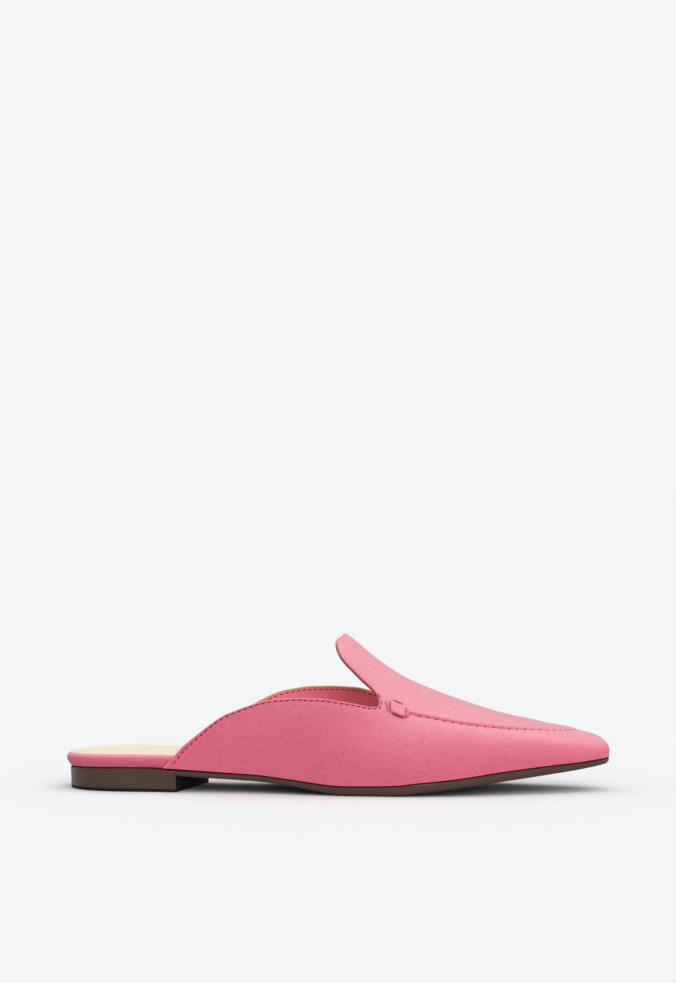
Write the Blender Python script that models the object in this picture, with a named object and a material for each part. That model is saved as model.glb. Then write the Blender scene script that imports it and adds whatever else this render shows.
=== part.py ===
"""A flat suede mule for the right foot, in metres, +Z up, toe towards +X, lateral side towards -Y.

The shoe is worked out from a last: a plan outline, a sole profile and a table of sections.
A section runs from the feather edge on the lateral side over the ridge to the medial feather edge.
The upper is cut from a flat pattern, wrapped over the last and given its wall.
"""

import math

import bmesh
import bpy
import numpy as np
from mathutils import Matrix
from mathutils import Vector
from mathutils.geometry import delaunay_2d_cdt

# Driving dimensions
LENGTH = 0.262  # heel rim to toe tip
BALL_WIDTH = 0.079  # feather edge to feather edge across the ball
HEEL_HEIGHT = 0.0112  # floor to footbed at the breast
WAIST_SOLE = 0.0032  # outsole at the waist
TREAD_SOLE = 0.0052  # outsole under the ball
TOE_SPRING = 0.0126  # outsole's bottom above the floor at the tip
UPPER_HEIGHT = 0.0710  # sole top to the tongue's highest point
COLLAR_HEIGHT = 0.0400  # sole top to the quarters' highest point
WALL = 0.0018  # upper's suede and lining together
GAP = 0.0003  # clearance between pieces
RIM_HEIGHT = 0.0062  # wrapped footbed at the heel
BOARD_HEIGHT = 0.0024  # footbed inside the upper
SOCK_THICKNESS = 0.0007
SOCK_RECESS = 0.0007  # footbed's top below its rim, under the sock
SOCK_MARGIN = 0.0025  # footbed's rim left bare round the sock
SOCK_ROOM = 0.0004  # between the sock's edge and the rim
RIM_TAPER = 0.0022  # how far the heel rim draws in at its foot
RIM_ROUND = 0.0017  # how far it rounds over at its top
RIM_FRONT = 0.34  # how far past the quarters' tails the rim thins out, a share of LENGTH
TOE_DRAW = 0.0012  # how much further in the footbed's top edge lies under the toe
TOE_ROOM = 0.0004  # and its whole side in the toe's tight curve
OUTSOLE_ROUND = 0.0042  # rounding of the outsole's bottom edge
HEEL_INSET = 0.0018  # how far the heel's top edge lies inside the plan
HEEL_ROUND = 0.0010  # rounding of the heel's bottom edge
BREAST = 0.235 * LENGTH  # heel rim to the breast, on the shoe's axis
BREAST_SLANT = 0.20  # how far the breast leans forward towards the medial side, per unit of width
SEAM_RIDGE = 0.0009  # apron seam above the vamp
TOE_RIDGE = 0.0004  # and where it crosses the toe
SEAM_GROOVE = 0.0003  # stitched groove below the vamp's surface
SEAM_WIDTH = 0.0040  # ridge's soft width on the apron
SEAM_PEAK = 0.36  # where its top lies, a share of that width
SEAM_STITCH = 0.20  # half the groove's width, a share of the ridge's
KEEPER_SIZE = 0.0068
KEEPER_THICKNESS = 0.0009
KEEPER_PRESS = 0.60  # how far a keeper presses the seam's ridge down, a share of it
KEEPER_LEAD = 0.0067  # apron seam's end to the keeper's middle
KEEPER_RISE = 0.0004  # the keeper's middle above the seam's groove
PATTERN_STEP = 0.0046  # spacing of the upper's facets
HEEL_CURVE = 0.15  # how far along the heel's round end reaches
TOE_CURVE = 1.02  # and where the toe's round end starts
HEEL_STATIONS = 12  # sections of the sole pieces round the heel
MIDDLE_STATIONS = 34  # in the straighter length between
TOE_STATIONS = 12  # and round the toe
STATION_SHARE = 0.004  # a cut end's section keeps this clear of the next
SOCK_END_SHARE = 1.03  # how far along the sock reaches into the toe
PASSING_SHARE = 0.05  # length, a share of LENGTH, over which an edge passes from one course to the next

# Plan: how far round the shoe, then shares of LENGTH for x, and of BALL_WIDTH for the two half widths
PLAN = (
    # along, x, lateral, medial
    (0.000, 0.000, 0.000, 0.000),
    (0.028, 0.004, 0.092, 0.092),
    (0.054, 0.015, 0.172, 0.161),
    (0.082, 0.034, 0.244, 0.222),
    (0.114, 0.061, 0.300, 0.272),
    (0.154, 0.099, 0.334, 0.308),
    (0.200, 0.145, 0.343, 0.324),
    (0.244, 0.191, 0.343, 0.322),
    (0.301, 0.248, 0.347, 0.301),
    (0.358, 0.305, 0.364, 0.286),
    (0.416, 0.363, 0.391, 0.289),
    (0.473, 0.420, 0.425, 0.314),
    (0.523, 0.470, 0.458, 0.355),
    (0.576, 0.523, 0.486, 0.403),
    (0.629, 0.576, 0.504, 0.446),
    (0.683, 0.630, 0.510, 0.478),
    (0.740, 0.687, 0.494, 0.492),
    (0.797, 0.744, 0.451, 0.473),
    (0.855, 0.802, 0.382, 0.428),
    (0.912, 0.859, 0.301, 0.366),
    (0.961, 0.908, 0.227, 0.303),
    (0.999, 0.943, 0.172, 0.257),
    (1.024, 0.964, 0.129, 0.223),
    (1.045, 0.981, 0.091, 0.190),
    (1.061, 0.992, 0.051, 0.152),
    (1.075, 0.998, 0.013, 0.116),
    (1.094, 1.000, -0.052, 0.052),
)

# Sole: pitch is a share of the waist's height, spring of TOE_SPRING, body runs from WAIST_SOLE to TREAD_SOLE
SOLE = (
    # along, pitch, spring, body
    (0.000, 0.88, 0.00, 0.00),
    (0.080, 0.98, 0.00, 0.00),
    (0.190, 1.05, 0.00, 0.00),
    (0.244, 1.01, 0.00, 0.00),
    (0.301, 0.91, 0.00, 0.00),
    (0.358, 0.81, 0.00, 0.00),
    (0.416, 0.70, 0.00, 0.07),
    (0.466, 0.51, 0.00, 0.14),
    (0.523, 0.22, 0.00, 0.40),
    (0.550, 0.07, 0.00, 0.58),
    (0.573, 0.00, 0.00, 0.70),
    (0.629, 0.00, 0.00, 0.78),
    (0.662, 0.00, 0.00, 0.92),
    (0.710, 0.00, 0.09, 1.00),
    (0.745, 0.00, 0.17, 0.92),
    (0.797, 0.00, 0.30, 0.86),
    (0.855, 0.00, 0.46, 0.90),
    (0.908, 0.00, 0.59, 0.85),
    (0.966, 0.00, 0.74, 0.60),
    (0.999, 0.00, 0.82, 0.40),
    (1.045, 0.00, 0.94, 0.20),
    (1.094, 0.00, 1.04, 0.00),
)

# Last: axis, lag and the flares are shares of BALL_WIDTH, rise of UPPER_HEIGHT, side and crown of the section
LAST = (
    # along, axis, rise, lag, lateral flare, medial flare, side, crown
    (0.200, 0.000, 1.250, 0.000, 0.012, 0.012, 0.50, 0.78),
    (0.301, 0.000, 1.250, 0.000, 0.018, 0.040, 0.50, 0.76),
    (0.358, 0.000, 1.250, 0.000, 0.020, 0.070, 0.50, 0.75),
    (0.416, 0.000, 1.240, 0.000, 0.020, 0.080, 0.50, 0.75),
    (0.473, 0.000, 1.200, 0.000, 0.020, 0.075, 0.50, 0.76),
    (0.523, 0.006, 1.100, 0.000, 0.020, 0.055, 0.54, 0.79),
    (0.576, 0.012, 0.966, 0.000, 0.020, 0.035, 0.58, 0.80),
    (0.629, 0.016, 0.804, 0.000, 0.020, 0.025, 0.55, 0.70),
    (0.683, 0.019, 0.670, 0.000, 0.020, 0.022, 0.56, 0.67),
    (0.740, 0.020, 0.555, 0.000, 0.018, 0.020, 0.60, 0.72),
    (0.797, 0.022, 0.456, 0.000, 0.016, 0.016, 0.64, 0.78),
    (0.855, 0.025, 0.361, 0.000, 0.014, 0.014, 0.66, 0.80),
    (0.912, 0.032, 0.293, 0.000, 0.012, 0.012, 0.66, 0.80),
    (0.961, 0.040, 0.237, 0.003, 0.010, 0.010, 0.64, 0.78),
    (0.999, 0.044, 0.204, 0.020, 0.008, 0.008, 0.62, 0.74),
    (1.024, 0.048, 0.177, 0.026, 0.006, 0.006, 0.60, 0.70),
    (1.045, 0.050, 0.153, 0.026, 0.005, 0.005, 0.58, 0.66),
    (1.061, 0.051, 0.122, 0.016, 0.003, 0.003, 0.56, 0.62),
    (1.075, 0.052, 0.078, 0.003, 0.002, 0.002, 0.56, 0.60),
    (1.085, 0.052, 0.042, -0.003, 0.001, 0.001, 0.56, 0.58),
    (1.094, 0.052, 0.000, 0.000, 0.000, 0.000, 0.56, 0.56),
)

# Topline of each quarter, from its tail to the notch: x of LENGTH, heights of COLLAR_HEIGHT above the sole
TOPLINE = (
    # x, lateral, medial
    (0.191, 0.000, 0.000),
    (0.206, 0.107, 0.104),
    (0.229, 0.285, 0.275),
    (0.248, 0.395, 0.375),
    (0.275, 0.545, 0.505),
    (0.302, 0.675, 0.625),
    (0.328, 0.755, 0.698),
    (0.355, 0.830, 0.798),
    (0.385, 0.900, 0.903),
    (0.420, 0.952, 0.978),
    (0.455, 0.986, 1.028),
    (0.490, 1.008, 1.057),
    (0.527, 0.987, 1.055),
    (0.557, 0.950, 1.010),
    (0.588, 0.930, 0.975),
)

# Tongue's edge, from the notch up to its corner: x of LENGTH, height of UPPER_HEIGHT above the sole
TONGUE_EDGE = (
    # x, height
    (0.588, 0.565),
    (0.571, 0.643),
    (0.550, 0.715),
    (0.530, 0.787),
    (0.512, 0.864),
    (0.499, 0.942),
)
TONGUE_END_SHARE = 0.516  # x of the tongue's end on the ridge, a share of LENGTH
NOTCH_CURVE = 0.0026  # length of edge taken up by the notch's curve
TONGUE_CURVE = 0.0080  # and by the tongue's corner

# Apron seam, from the keeper to the toe: x of LENGTH, distance from the ridge as a share of the half girth
SEAM = (
    # x, girth
    (0.594, 0.480),
    (0.630, 0.507),
    (0.683, 0.527),
    (0.733, 0.540),
    (0.798, 0.528),
    (0.844, 0.496),
    (0.878, 0.440),
    (0.908, 0.345),
    (0.930, 0.215),
)
SEAM_TOE_SHARE = 0.947  # x where the seam crosses the ridge, a share of LENGTH

COLOURS = {
    # base colour, roughness
    "suede": ((0.72, 0.20, 0.27), 0.95),
    "sock": ((0.88, 0.77, 0.60), 0.60),
    "sole": ((0.085, 0.050, 0.037), 0.45),
}


def column(table, index, at):
    """One column of a table, read at any place along it on a curve with no overshoot."""
    rows = np.array(table, float)
    x = rows[:, 0]
    y = rows[:, index]
    step = np.diff(x)
    slope = np.diff(y) / step
    tangent = np.zeros_like(y)
    tangent[0] = slope[0]
    tangent[-1] = slope[-1]
    same = slope[1:] * slope[:-1] > 0
    before = 2 * step[1:] + step[:-1]
    after = step[1:] + 2 * step[:-1]
    safe_before = np.where(same, slope[:-1], 1)
    safe_after = np.where(same, slope[1:], 1)
    mean = (before + after) / (before / safe_before + after / safe_after)
    tangent[1:-1] = np.where(same, mean, 0)
    at = np.clip(np.asarray(at, float), x[0], x[-1])
    i = np.clip(np.searchsorted(x, at, side="right") - 1, 0, len(step) - 1)
    s = (at - x[i]) / step[i]
    return (
        (1 + 2 * s) * (1 - s) ** 2 * y[i]
        + s * (1 - s) ** 2 * step[i] * tangent[i]
        + s**2 * (3 - 2 * s) * y[i + 1]
        + s**2 * (s - 1) * step[i] * tangent[i + 1]
    )


def ease(x, low, high):
    """0 below low, 1 above high, smooth between."""
    s = np.clip((np.asarray(x, float) - low) / (high - low), 0, 1)
    return s * s * (3 - 2 * s)


# Plan and sole profile
ALONG_TIP = PLAN[-1][0]


def plan_x(along):
    return LENGTH * column(PLAN, 1, along)


def along_at(x):
    """The station whose plan point lies at x, behind the toe's curve."""
    fine = np.linspace(0, ALONG_TIP, 2000)
    return np.interp(x, plan_x(fine), fine)


def edge_point(along, side):
    """A point of the feather edge in plan; side is -1 for lateral and 1 for medial."""
    half = column(PLAN, 2 if side < 0 else 3, along)
    return np.stack([plan_x(along), side * BALL_WIDTH * half], axis=-1)


def edge_inward(along, side):
    """The unit direction in plan from the feather edge into the shoe."""
    step = 0.002
    low = np.clip(np.asarray(along, float) - step, 0, ALONG_TIP)
    high = np.clip(np.asarray(along, float) + step, 0, ALONG_TIP)
    run = edge_point(high, side) - edge_point(low, side)
    inward = np.stack([side * run[..., 1], -side * run[..., 0]], axis=-1)
    inward = inward / np.linalg.norm(inward, axis=-1, keepdims=True)
    at_heel = np.asarray(along) <= 0
    at_toe = np.asarray(along) >= ALONG_TIP
    inward[at_heel] = (1, 0)
    inward[at_toe] = (-1, 0)
    return inward


def sole_bottom(along):
    waist = HEEL_HEIGHT - WAIST_SOLE
    return waist * column(SOLE, 1, along) + TOE_SPRING * column(SOLE, 2, along)


def sole_top(along):
    body = WAIST_SOLE + (TREAD_SOLE - WAIST_SOLE) * column(SOLE, 3, along)
    return sole_bottom(along) + body


# Last
SECTION_STEPS = 40


def section(along):
    """Sections of the last as fine curves from lateral feather to medial feather, with girths from the ridge."""
    along = np.atleast_1d(np.asarray(along, float))
    axis = BALL_WIDTH * column(LAST, 1, along)
    rise = UPPER_HEIGHT * column(LAST, 2, along)
    lag = BALL_WIDTH * column(LAST, 3, along)
    side_share = column(LAST, 6, along)
    crown_share = column(LAST, 7, along)
    foot = sole_top(along) + GAP
    ridge = np.stack([plan_x(along) - lag, axis, foot + rise], axis=-1)
    halves = []
    for side in (-1, 1):
        edge = edge_point(along, side)
        flare = BALL_WIDTH * column(LAST, 4 if side < 0 else 5, along)
        feather = np.stack([edge[..., 0], edge[..., 1], foot], axis=-1)
        shoulder = feather + np.stack([-0.5 * lag, side * flare, side_share * rise], axis=-1)
        reach = crown_share * (side * (edge[..., 1] - axis) + flare)
        crown = ridge + np.stack([np.zeros_like(lag), side * reach, np.zeros_like(lag)], axis=-1)
        s = np.linspace(0, 1, SECTION_STEPS + 1)[:, None, None]
        curve = (
            (1 - s) ** 3 * feather
            + 3 * (1 - s) ** 2 * s * shoulder
            + 3 * (1 - s) * s**2 * crown
            + s**3 * ridge
        )
        halves.append(curve)
    points = np.concatenate([halves[0], halves[1][::-1][1:]], axis=0)
    length = np.linalg.norm(np.diff(points, axis=0), axis=-1)
    girth = np.concatenate([np.zeros((1, len(along))), np.cumsum(length, axis=0)], axis=0)
    girth = girth - girth[SECTION_STEPS]
    return points, girth


def half_girths(along):
    """Distance from the ridge to each feather edge, lateral as a negative number."""
    _, girth = section(along)
    return girth[0], girth[-1]


def girth_at_height(along, height, side):
    """Where a section is this high above the floor, on one side of the ridge."""
    points, girth = section(along)
    found = []
    for i, target in enumerate(np.atleast_1d(height)):
        z = points[:, i, 2]
        g = girth[:, i]
        if side < 0:
            found.append(np.interp(target, z[: SECTION_STEPS + 1], g[: SECTION_STEPS + 1]))
        else:
            found.append(np.interp(target, z[SECTION_STEPS:][::-1], g[SECTION_STEPS:][::-1]))
    return np.array(found)


def last_point(flat):
    """Points of the flat pattern, as (distance along, girth), wrapped on the last."""
    points, girth = section(flat[:, 0] / LENGTH)
    wrapped = np.empty((len(flat), 3))
    for axis in range(3):
        for i, g in enumerate(flat[:, 1]):
            wrapped[i, axis] = np.interp(g, girth[:, i], points[:, i, axis])
    return wrapped


# Flat pattern: the first coordinate is the distance along in metres, the second the girth from the ridge
def smooth_run(points, count):
    """A smooth curve through points, as count points spread evenly along it."""
    points = np.array(points, float)
    reach = np.concatenate([[0], np.cumsum(np.linalg.norm(np.diff(points, axis=0), axis=1))])
    table = np.column_stack([reach, points])
    fine = np.linspace(0, reach[-1], 40 * len(points))
    curve = np.column_stack([column(table, 1, fine), column(table, 2, fine)])
    length = np.concatenate([[0], np.cumsum(np.linalg.norm(np.diff(curve, axis=0), axis=1))])
    even = np.linspace(0, length[-1], count)
    return np.column_stack([np.interp(even, length, curve[:, 0]), np.interp(even, length, curve[:, 1])])


def run_length(points):
    return float(np.linalg.norm(np.diff(np.array(points), axis=0), axis=1).sum())


def evenly(points, step):
    return smooth_run(points, max(3, math.ceil(run_length(points) / step) + 1))


def cut_back(run, reach):
    """A run without the last stretch of this length."""
    left = np.concatenate([np.cumsum(np.linalg.norm(np.diff(run[::-1], axis=0), axis=1))[::-1], [0]])
    kept = run[left > reach * 1.2]
    i = len(kept) - 1
    share = (left[i] - reach) / (left[i] - left[i + 1])
    return np.vstack([kept, run[i] + share * (run[i + 1] - run[i])])


def join_runs(first, second, reach, steps):
    """Two runs that meet in a corner, joined by a curve that takes this length off each."""
    corner = second[0]
    start = cut_back(first, reach)
    end = cut_back(second[::-1], reach)[::-1]
    s = np.linspace(0, 1, steps + 2)[1:-1, None]
    curve = (1 - s) ** 2 * start[-1] + 2 * (1 - s) * s * corner + s**2 * end[0]
    return np.vstack([start, curve, end])


def side_outline(side, step, curve_steps):
    """One half of the upper's edge: feather from toe to tail, topline, notch, tongue edge, to the ridge."""
    tail = along_at(LENGTH * TOPLINE[0][0])
    spans = np.linspace(ALONG_TIP, tail, math.ceil(LENGTH * (ALONG_TIP - tail) / step) + 1)
    half = half_girths(spans)[0 if side < 0 else 1]
    feather = np.column_stack([spans * LENGTH, half])
    stations = along_at(LENGTH * np.array([row[0] for row in TOPLINE]))
    heights = COLLAR_HEIGHT * np.array([row[1 if side < 0 else 2] for row in TOPLINE])
    girths = girth_at_height(stations, sole_top(stations) + GAP + heights, side)
    topline = evenly(np.column_stack([stations * LENGTH, girths]), step)
    topline[0] = feather[-1]
    stations = along_at(LENGTH * np.array([row[0] for row in TONGUE_EDGE]))
    heights = UPPER_HEIGHT * np.array([row[1] for row in TONGUE_EDGE])
    girths = girth_at_height(stations, sole_top(stations) + GAP + heights, side)
    edge = evenly(np.column_stack([stations * LENGTH, girths]), step)
    topline[-1] = edge[0]
    end_along = along_at(LENGTH * TONGUE_END_SHARE) * LENGTH
    corner = edge[-1]
    s = np.linspace(0, 1, 6)[:, None]
    end = np.hstack([
        end_along + (corner[0] - end_along) * (1 - s) ** 2,
        corner[1] * (1 - s),
    ])
    rising = join_runs(topline, edge, NOTCH_CURVE, curve_steps)
    rising = join_runs(rising, end, TONGUE_CURVE, curve_steps)
    return np.vstack([feather[:-1], rising])


def upper_outline(step, curve_steps):
    """The upper's whole edge as a closed loop of flat points, with a mark on each point of the feather edge."""
    lateral = side_outline(-1, step, curve_steps)
    medial = side_outline(1, step, curve_steps)
    return np.vstack([lateral, medial[::-1][1:-1]])


def seam_line(step):
    """The apron seam as one run from the medial keeper round the toe to the lateral one, apron on its right."""
    stations = along_at(LENGTH * np.array([row[0] for row in SEAM]))
    shares = np.array([row[1] for row in SEAM])
    lateral, medial = half_girths(stations)
    near = np.column_stack([stations * LENGTH, shares * lateral])
    far = np.column_stack([stations * LENGTH, shares * medial])
    toe = [[along_at(LENGTH * SEAM_TOE_SHARE) * LENGTH, 0.0]]
    return evenly(np.vstack([far, toe, near[::-1]]), step)


def beside(run, distance):
    """A run moved sideways in the flat pattern, towards its right hand for a positive distance."""
    ahead = np.gradient(run, axis=0)
    right = np.column_stack([ahead[:, 1], -ahead[:, 0]])
    right = right / np.linalg.norm(right, axis=1, keepdims=True)
    return run + distance * right


def distances(points, run):
    """For each point, the shortest distance to a run, on which side it lies, and how far along it."""
    best = np.full(len(points), np.inf)
    side = np.zeros(len(points))
    place = np.zeros(len(points))
    start = 0.0
    for a, b in zip(run[:-1], run[1:]):
        ab = b - a
        length = np.linalg.norm(ab)
        s = np.clip(((points - a) @ ab) / length**2, 0, 1)
        off = points - (a + s[:, None] * ab)
        d = np.linalg.norm(off, axis=1)
        nearer = d < best
        best = np.where(nearer, d, best)
        cross = ab[0] * off[:, 1] - ab[1] * off[:, 0]
        side = np.where(nearer, -np.sign(cross), side)
        place = np.where(nearer, start + s * length, place)
        start += length
    return best, side, place


def seam_height(flat, seam):
    """Height of the apron seam's groove and ridge above the last at flat points."""
    distance, side, place = distances(flat, seam)
    total = run_length(seam)
    q = distance * np.where(side == 0, 1, side)
    ends = np.minimum(place, total - place)
    fade = ease(ends, 0, SEAM_WIDTH / 2)
    peak = SEAM_WIDTH * SEAM_PEAK
    rising = ease(q, 0, peak)
    falling = 1 - ease(q, peak, SEAM_WIDTH)
    top = SEAM_RIDGE + (TOE_RIDGE - SEAM_RIDGE) * ease(ends, 0.25 * total, 0.5 * total)
    pressed = 1 - KEEPER_PRESS * (1 - ease(np.abs(ends - KEEPER_LEAD), KEEPER_SIZE / 2, KEEPER_SIZE))
    ridge = top * pressed * rising * falling
    groove = SEAM_GROOVE * (1 - ease(np.abs(q), 0, SEAM_WIDTH * SEAM_STITCH))
    beyond = 1 - ease(distance, SEAM_WIDTH * 1.02, SEAM_WIDTH * 1.1)
    return (ridge - groove) * fade * beyond


def inside(points, loop):
    """Which points lie inside a closed loop."""
    hit = np.zeros(len(points), bool)
    for a, b in zip(loop, np.roll(loop, -1, axis=0)):
        spans = (a[1] > points[:, 1]) != (b[1] > points[:, 1])
        level = np.where(a[1] == b[1], 1.0, b[1] - a[1])
        cross = a[0] + (points[:, 1] - a[1]) * (b[0] - a[0]) / level
        hit ^= spans & (points[:, 0] < cross)
    return hit


def cut_pattern(loop, lines, step):
    """Triangles of the flat pattern inside loop, with an edge along each of the lines."""
    low = loop.min(axis=0)
    high = loop.max(axis=0)
    rows = np.arange(low[1] + step / 2, high[1], step * math.sqrt(3) / 2)
    fill = []
    for i, g in enumerate(rows):
        across = np.arange(low[0] + step / 2 * (1 + i % 2), high[0], step)
        fill.append(np.column_stack([across, np.full(len(across), g)]))
    fill = np.vstack(fill)
    fill = fill[inside(fill, loop)]
    closed = np.vstack([loop, loop[:1]])
    fill = fill[distances(fill, closed)[0] > 0.62 * step]
    for line in lines:
        fill = fill[distances(fill, line)[0] > 0.5 * step]
    points = list(loop)
    edges = [(i, (i + 1) % len(loop)) for i in range(len(loop))]
    for line in lines:
        first = len(points)
        points.extend(line)
        edges.extend((first + i, first + i + 1) for i in range(len(line) - 1))
    points.extend(fill)
    vectors = [Vector((float(p[0]), float(p[1]))) for p in points]
    verts, _, faces, *_ = delaunay_2d_cdt(vectors, edges, [], 0, 1e-7, False)
    flat = np.array([[v.x, v.y] for v in verts])
    faces = np.array([list(f) for f in faces], int)
    return flat, faces[inside(flat[faces].mean(axis=1), loop)]


def point_normals(points, faces):
    corners = points[faces]
    normal = np.cross(corners[:, 1] - corners[:, 0], corners[:, 2] - corners[:, 0])
    total = np.zeros_like(points)
    for i in range(3):
        np.add.at(total, faces[:, i], normal)
    return total / np.linalg.norm(total, axis=1, keepdims=True)


def boundary_edges(faces):
    """Edges with one face, in that face's direction."""
    directed = np.vstack([faces[:, [0, 1]], faces[:, [1, 2]], faces[:, [2, 0]]])
    _, index, count = np.unique(np.sort(directed, axis=1), axis=0, return_inverse=True, return_counts=True)
    return directed[count[index.reshape(-1)] == 1]


def thickened(outer, inner, faces):
    """A closed solid between two skins with the same faces."""
    count = len(outer)
    rim = []
    for a, b in boundary_edges(faces):
        rim.append((b, a, a + count))
        rim.append((b, a + count, b + count))
    solid = [tuple(f) for f in faces]
    solid += [tuple(f[::-1] + count) for f in faces]
    solid += rim
    return np.vstack([outer, inner]), solid


# Objects
def collection(name):
    made = bpy.data.collections.new(name)
    bpy.context.scene.collection.children.link(made)
    return made


def material(name):
    colour, roughness = COLOURS[name]
    made = bpy.data.materials.get(name) or bpy.data.materials.new(name)
    made.use_nodes = True
    shader = made.node_tree.nodes["Principled BSDF"]
    shader.inputs["Base Color"].default_value = (*colour, 1)
    shader.inputs["Roughness"].default_value = roughness
    shader.inputs["Metallic"].default_value = 0
    return made


def solid_object(name, points, faces, finish, group):
    """A named object from points and faces, with doubled points joined and faces turned out."""
    mesh = bpy.data.meshes.new(name)
    mesh.from_pydata([tuple(map(float, p)) for p in points], [], [tuple(map(int, f)) for f in faces])
    shape = bmesh.new()
    shape.from_mesh(mesh)
    bmesh.ops.remove_doubles(shape, verts=shape.verts, dist=1e-6)
    bmesh.ops.dissolve_degenerate(shape, edges=shape.edges, dist=1e-6)
    bmesh.ops.recalc_face_normals(shape, faces=shape.faces)
    shape.to_mesh(mesh)
    shape.free()
    mesh.shade_smooth()
    mesh.set_sharp_from_angle(angle=math.radians(40))
    made = bpy.data.objects.new(name, mesh)
    made.data.materials.append(material(finish))
    group.objects.link(made)
    return made


def loft(rings, closed_ends):
    """Faces between rings of equal length; closed_ends caps the first and the last ring."""
    rings = np.array(rings)
    count = rings.shape[1]
    faces = []
    for i in range(len(rings) - 1):
        for j in range(count):
            k = (j + 1) % count
            corners = (i * count + j, i * count + k, (i + 1) * count + k, (i + 1) * count + j)
            faces.append(corners[:3])
            faces.append((corners[0], corners[2], corners[3]))
    if closed_ends[0]:
        faces.append(tuple(range(count))[::-1])
    if closed_ends[1]:
        faces.append(tuple(range((len(rings) - 1) * count, len(rings) * count)))
    return rings.reshape(-1, 3), faces


def slab_ring(along, steps, lean=0.0, square=0.0):
    """One cross-section of a sole piece, from (inset, height) pairs that run from the bottom round to the top.

    lean shifts x with y, and square brings the points back to one plane across the shoe.
    """
    ring = []
    for side in (-1, 1):
        edge = edge_point(along, side)
        inward = edge_inward(along, side)
        half = [(*(edge + inset * inward), height) for inset, height in steps]
        ring.extend(half if side < 0 else half[::-1])
    ring = np.array(ring)
    ring[:, 0] += square * (float(plan_x(along)) - ring[:, 0]) + lean * ring[:, 1]
    return ring


def stations(first, last):
    """Stations from first to last, taken from one row for the whole shoe that is closer at heel and toe."""
    heel = np.linspace(0, HEEL_CURVE, HEEL_STATIONS, endpoint=False)
    middle = np.linspace(HEEL_CURVE, TOE_CURVE, MIDDLE_STATIONS, endpoint=False)
    toe = np.linspace(TOE_CURVE, ALONG_TIP, TOE_STATIONS)
    row = np.concatenate([heel, middle, toe])
    between = row[(row > first + STATION_SHARE) & (row < last - STATION_SHARE)]
    return np.concatenate([[first], between, [last]])


def make_upper(group):
    seam = seam_line(PATTERN_STEP)
    lines = [seam]
    for share in (-SEAM_STITCH, SEAM_STITCH, SEAM_PEAK, (1 + SEAM_PEAK) / 2, 1.0):
        lines.append(beside(seam, share * SEAM_WIDTH))
    loop = upper_outline(PATTERN_STEP, 5)
    flat, faces = cut_pattern(loop, lines, PATTERN_STEP)
    on_last = last_point(flat)
    normal = point_normals(on_last, faces)
    outer = on_last + normal * seam_height(flat, seam)[:, None]
    lateral, medial = half_girths(flat[:, 0] / LENGTH)
    on_feather = np.minimum(flat[:, 1] - lateral, medial - flat[:, 1]) < 1e-5
    into = normal.copy()
    into[on_feather, 2] = 0
    into = into / np.linalg.norm(into, axis=1, keepdims=True)
    inner = on_last - into * WALL
    points, solid = thickened(outer, inner, faces)
    return solid_object("upper", points, solid, "suede", group)


def make_keeper(name, side, group):
    """A square band that arches over the apron seam, clear of the upper."""
    seam = seam_line(PATTERN_STEP / 4)
    reach = np.concatenate([[0], np.cumsum(np.linalg.norm(np.diff(seam, axis=0), axis=1))])
    place = KEEPER_LEAD if side > 0 else reach[-1] - KEEPER_LEAD
    index = int(np.argmin(np.abs(reach - place)))
    middle = seam[index]
    ahead = seam[index + 1] - seam[index - 1]
    ahead = ahead / np.linalg.norm(ahead)
    across = np.array([ahead[1], -ahead[0]])
    count = 8
    share = np.linspace(-0.5, 0.5, count)
    a, c = np.meshgrid(share, share, indexing="ij")
    flat = middle + KEEPER_SIZE * a[..., None] * ahead + (KEEPER_SIZE * c[..., None] + KEEPER_RISE) * across
    flat = flat.reshape(-1, 2)
    grid = np.arange(count * count).reshape(count, count)
    faces = []
    for i in range(count - 1):
        for j in range(count - 1):
            corners = (grid[i, j], grid[i + 1, j], grid[i + 1, j + 1], grid[i, j + 1])
            faces.append(corners[:3])
            faces.append((corners[0], corners[2], corners[3]))
    faces = np.array(faces)
    on_last = last_point(flat)
    normal = point_normals(on_last, faces)
    if (normal @ np.array([0, side * 0.5, 1.0])).mean() < 0:
        faces = faces[:, ::-1]
        normal = -normal
    under = seam_height(flat, seam)
    arch = np.maximum(under, (1 - KEEPER_PRESS) * SEAM_RIDGE * (1 - (2 * c.reshape(-1)) ** 4))
    inner = on_last + normal * (arch + GAP)[:, None]
    pillow = 1 - 0.45 * np.maximum(np.abs(2 * a), np.abs(2 * c)).reshape(-1) ** 6
    outer = inner + normal * (KEEPER_THICKNESS * pillow)[:, None]
    points, solid = thickened(outer, inner, faces)
    return solid_object(name, points, solid, "suede", group)


# Sole pieces
def make_outsole(group):
    breast = float(along_at(BREAST + GAP))
    rings = []
    for along in stations(breast, ALONG_TIP):
        top = float(sole_top(along))
        bottom = float(sole_bottom(along))
        body = top - bottom
        edge = OUTSOLE_ROUND * min(1.0, (ALONG_TIP - along) / PASSING_SHARE + 0.35)
        steps = (
            (edge, bottom),
            (0.33 * edge, bottom + 0.13 * body),
            (0.12 * edge, bottom + 0.36 * body),
            (0.07 * edge, top - 0.14 * body),
            (0.14 * edge, top),
        )
        near_breast = 1 - float(ease(along, breast, breast + 3 * PASSING_SHARE))
        rings.append(slab_ring(along, steps, BREAST_SLANT * near_breast, near_breast))
    points, faces = loft(rings, (True, False))
    return solid_object("outsole", points, faces, "sole", group)


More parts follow.
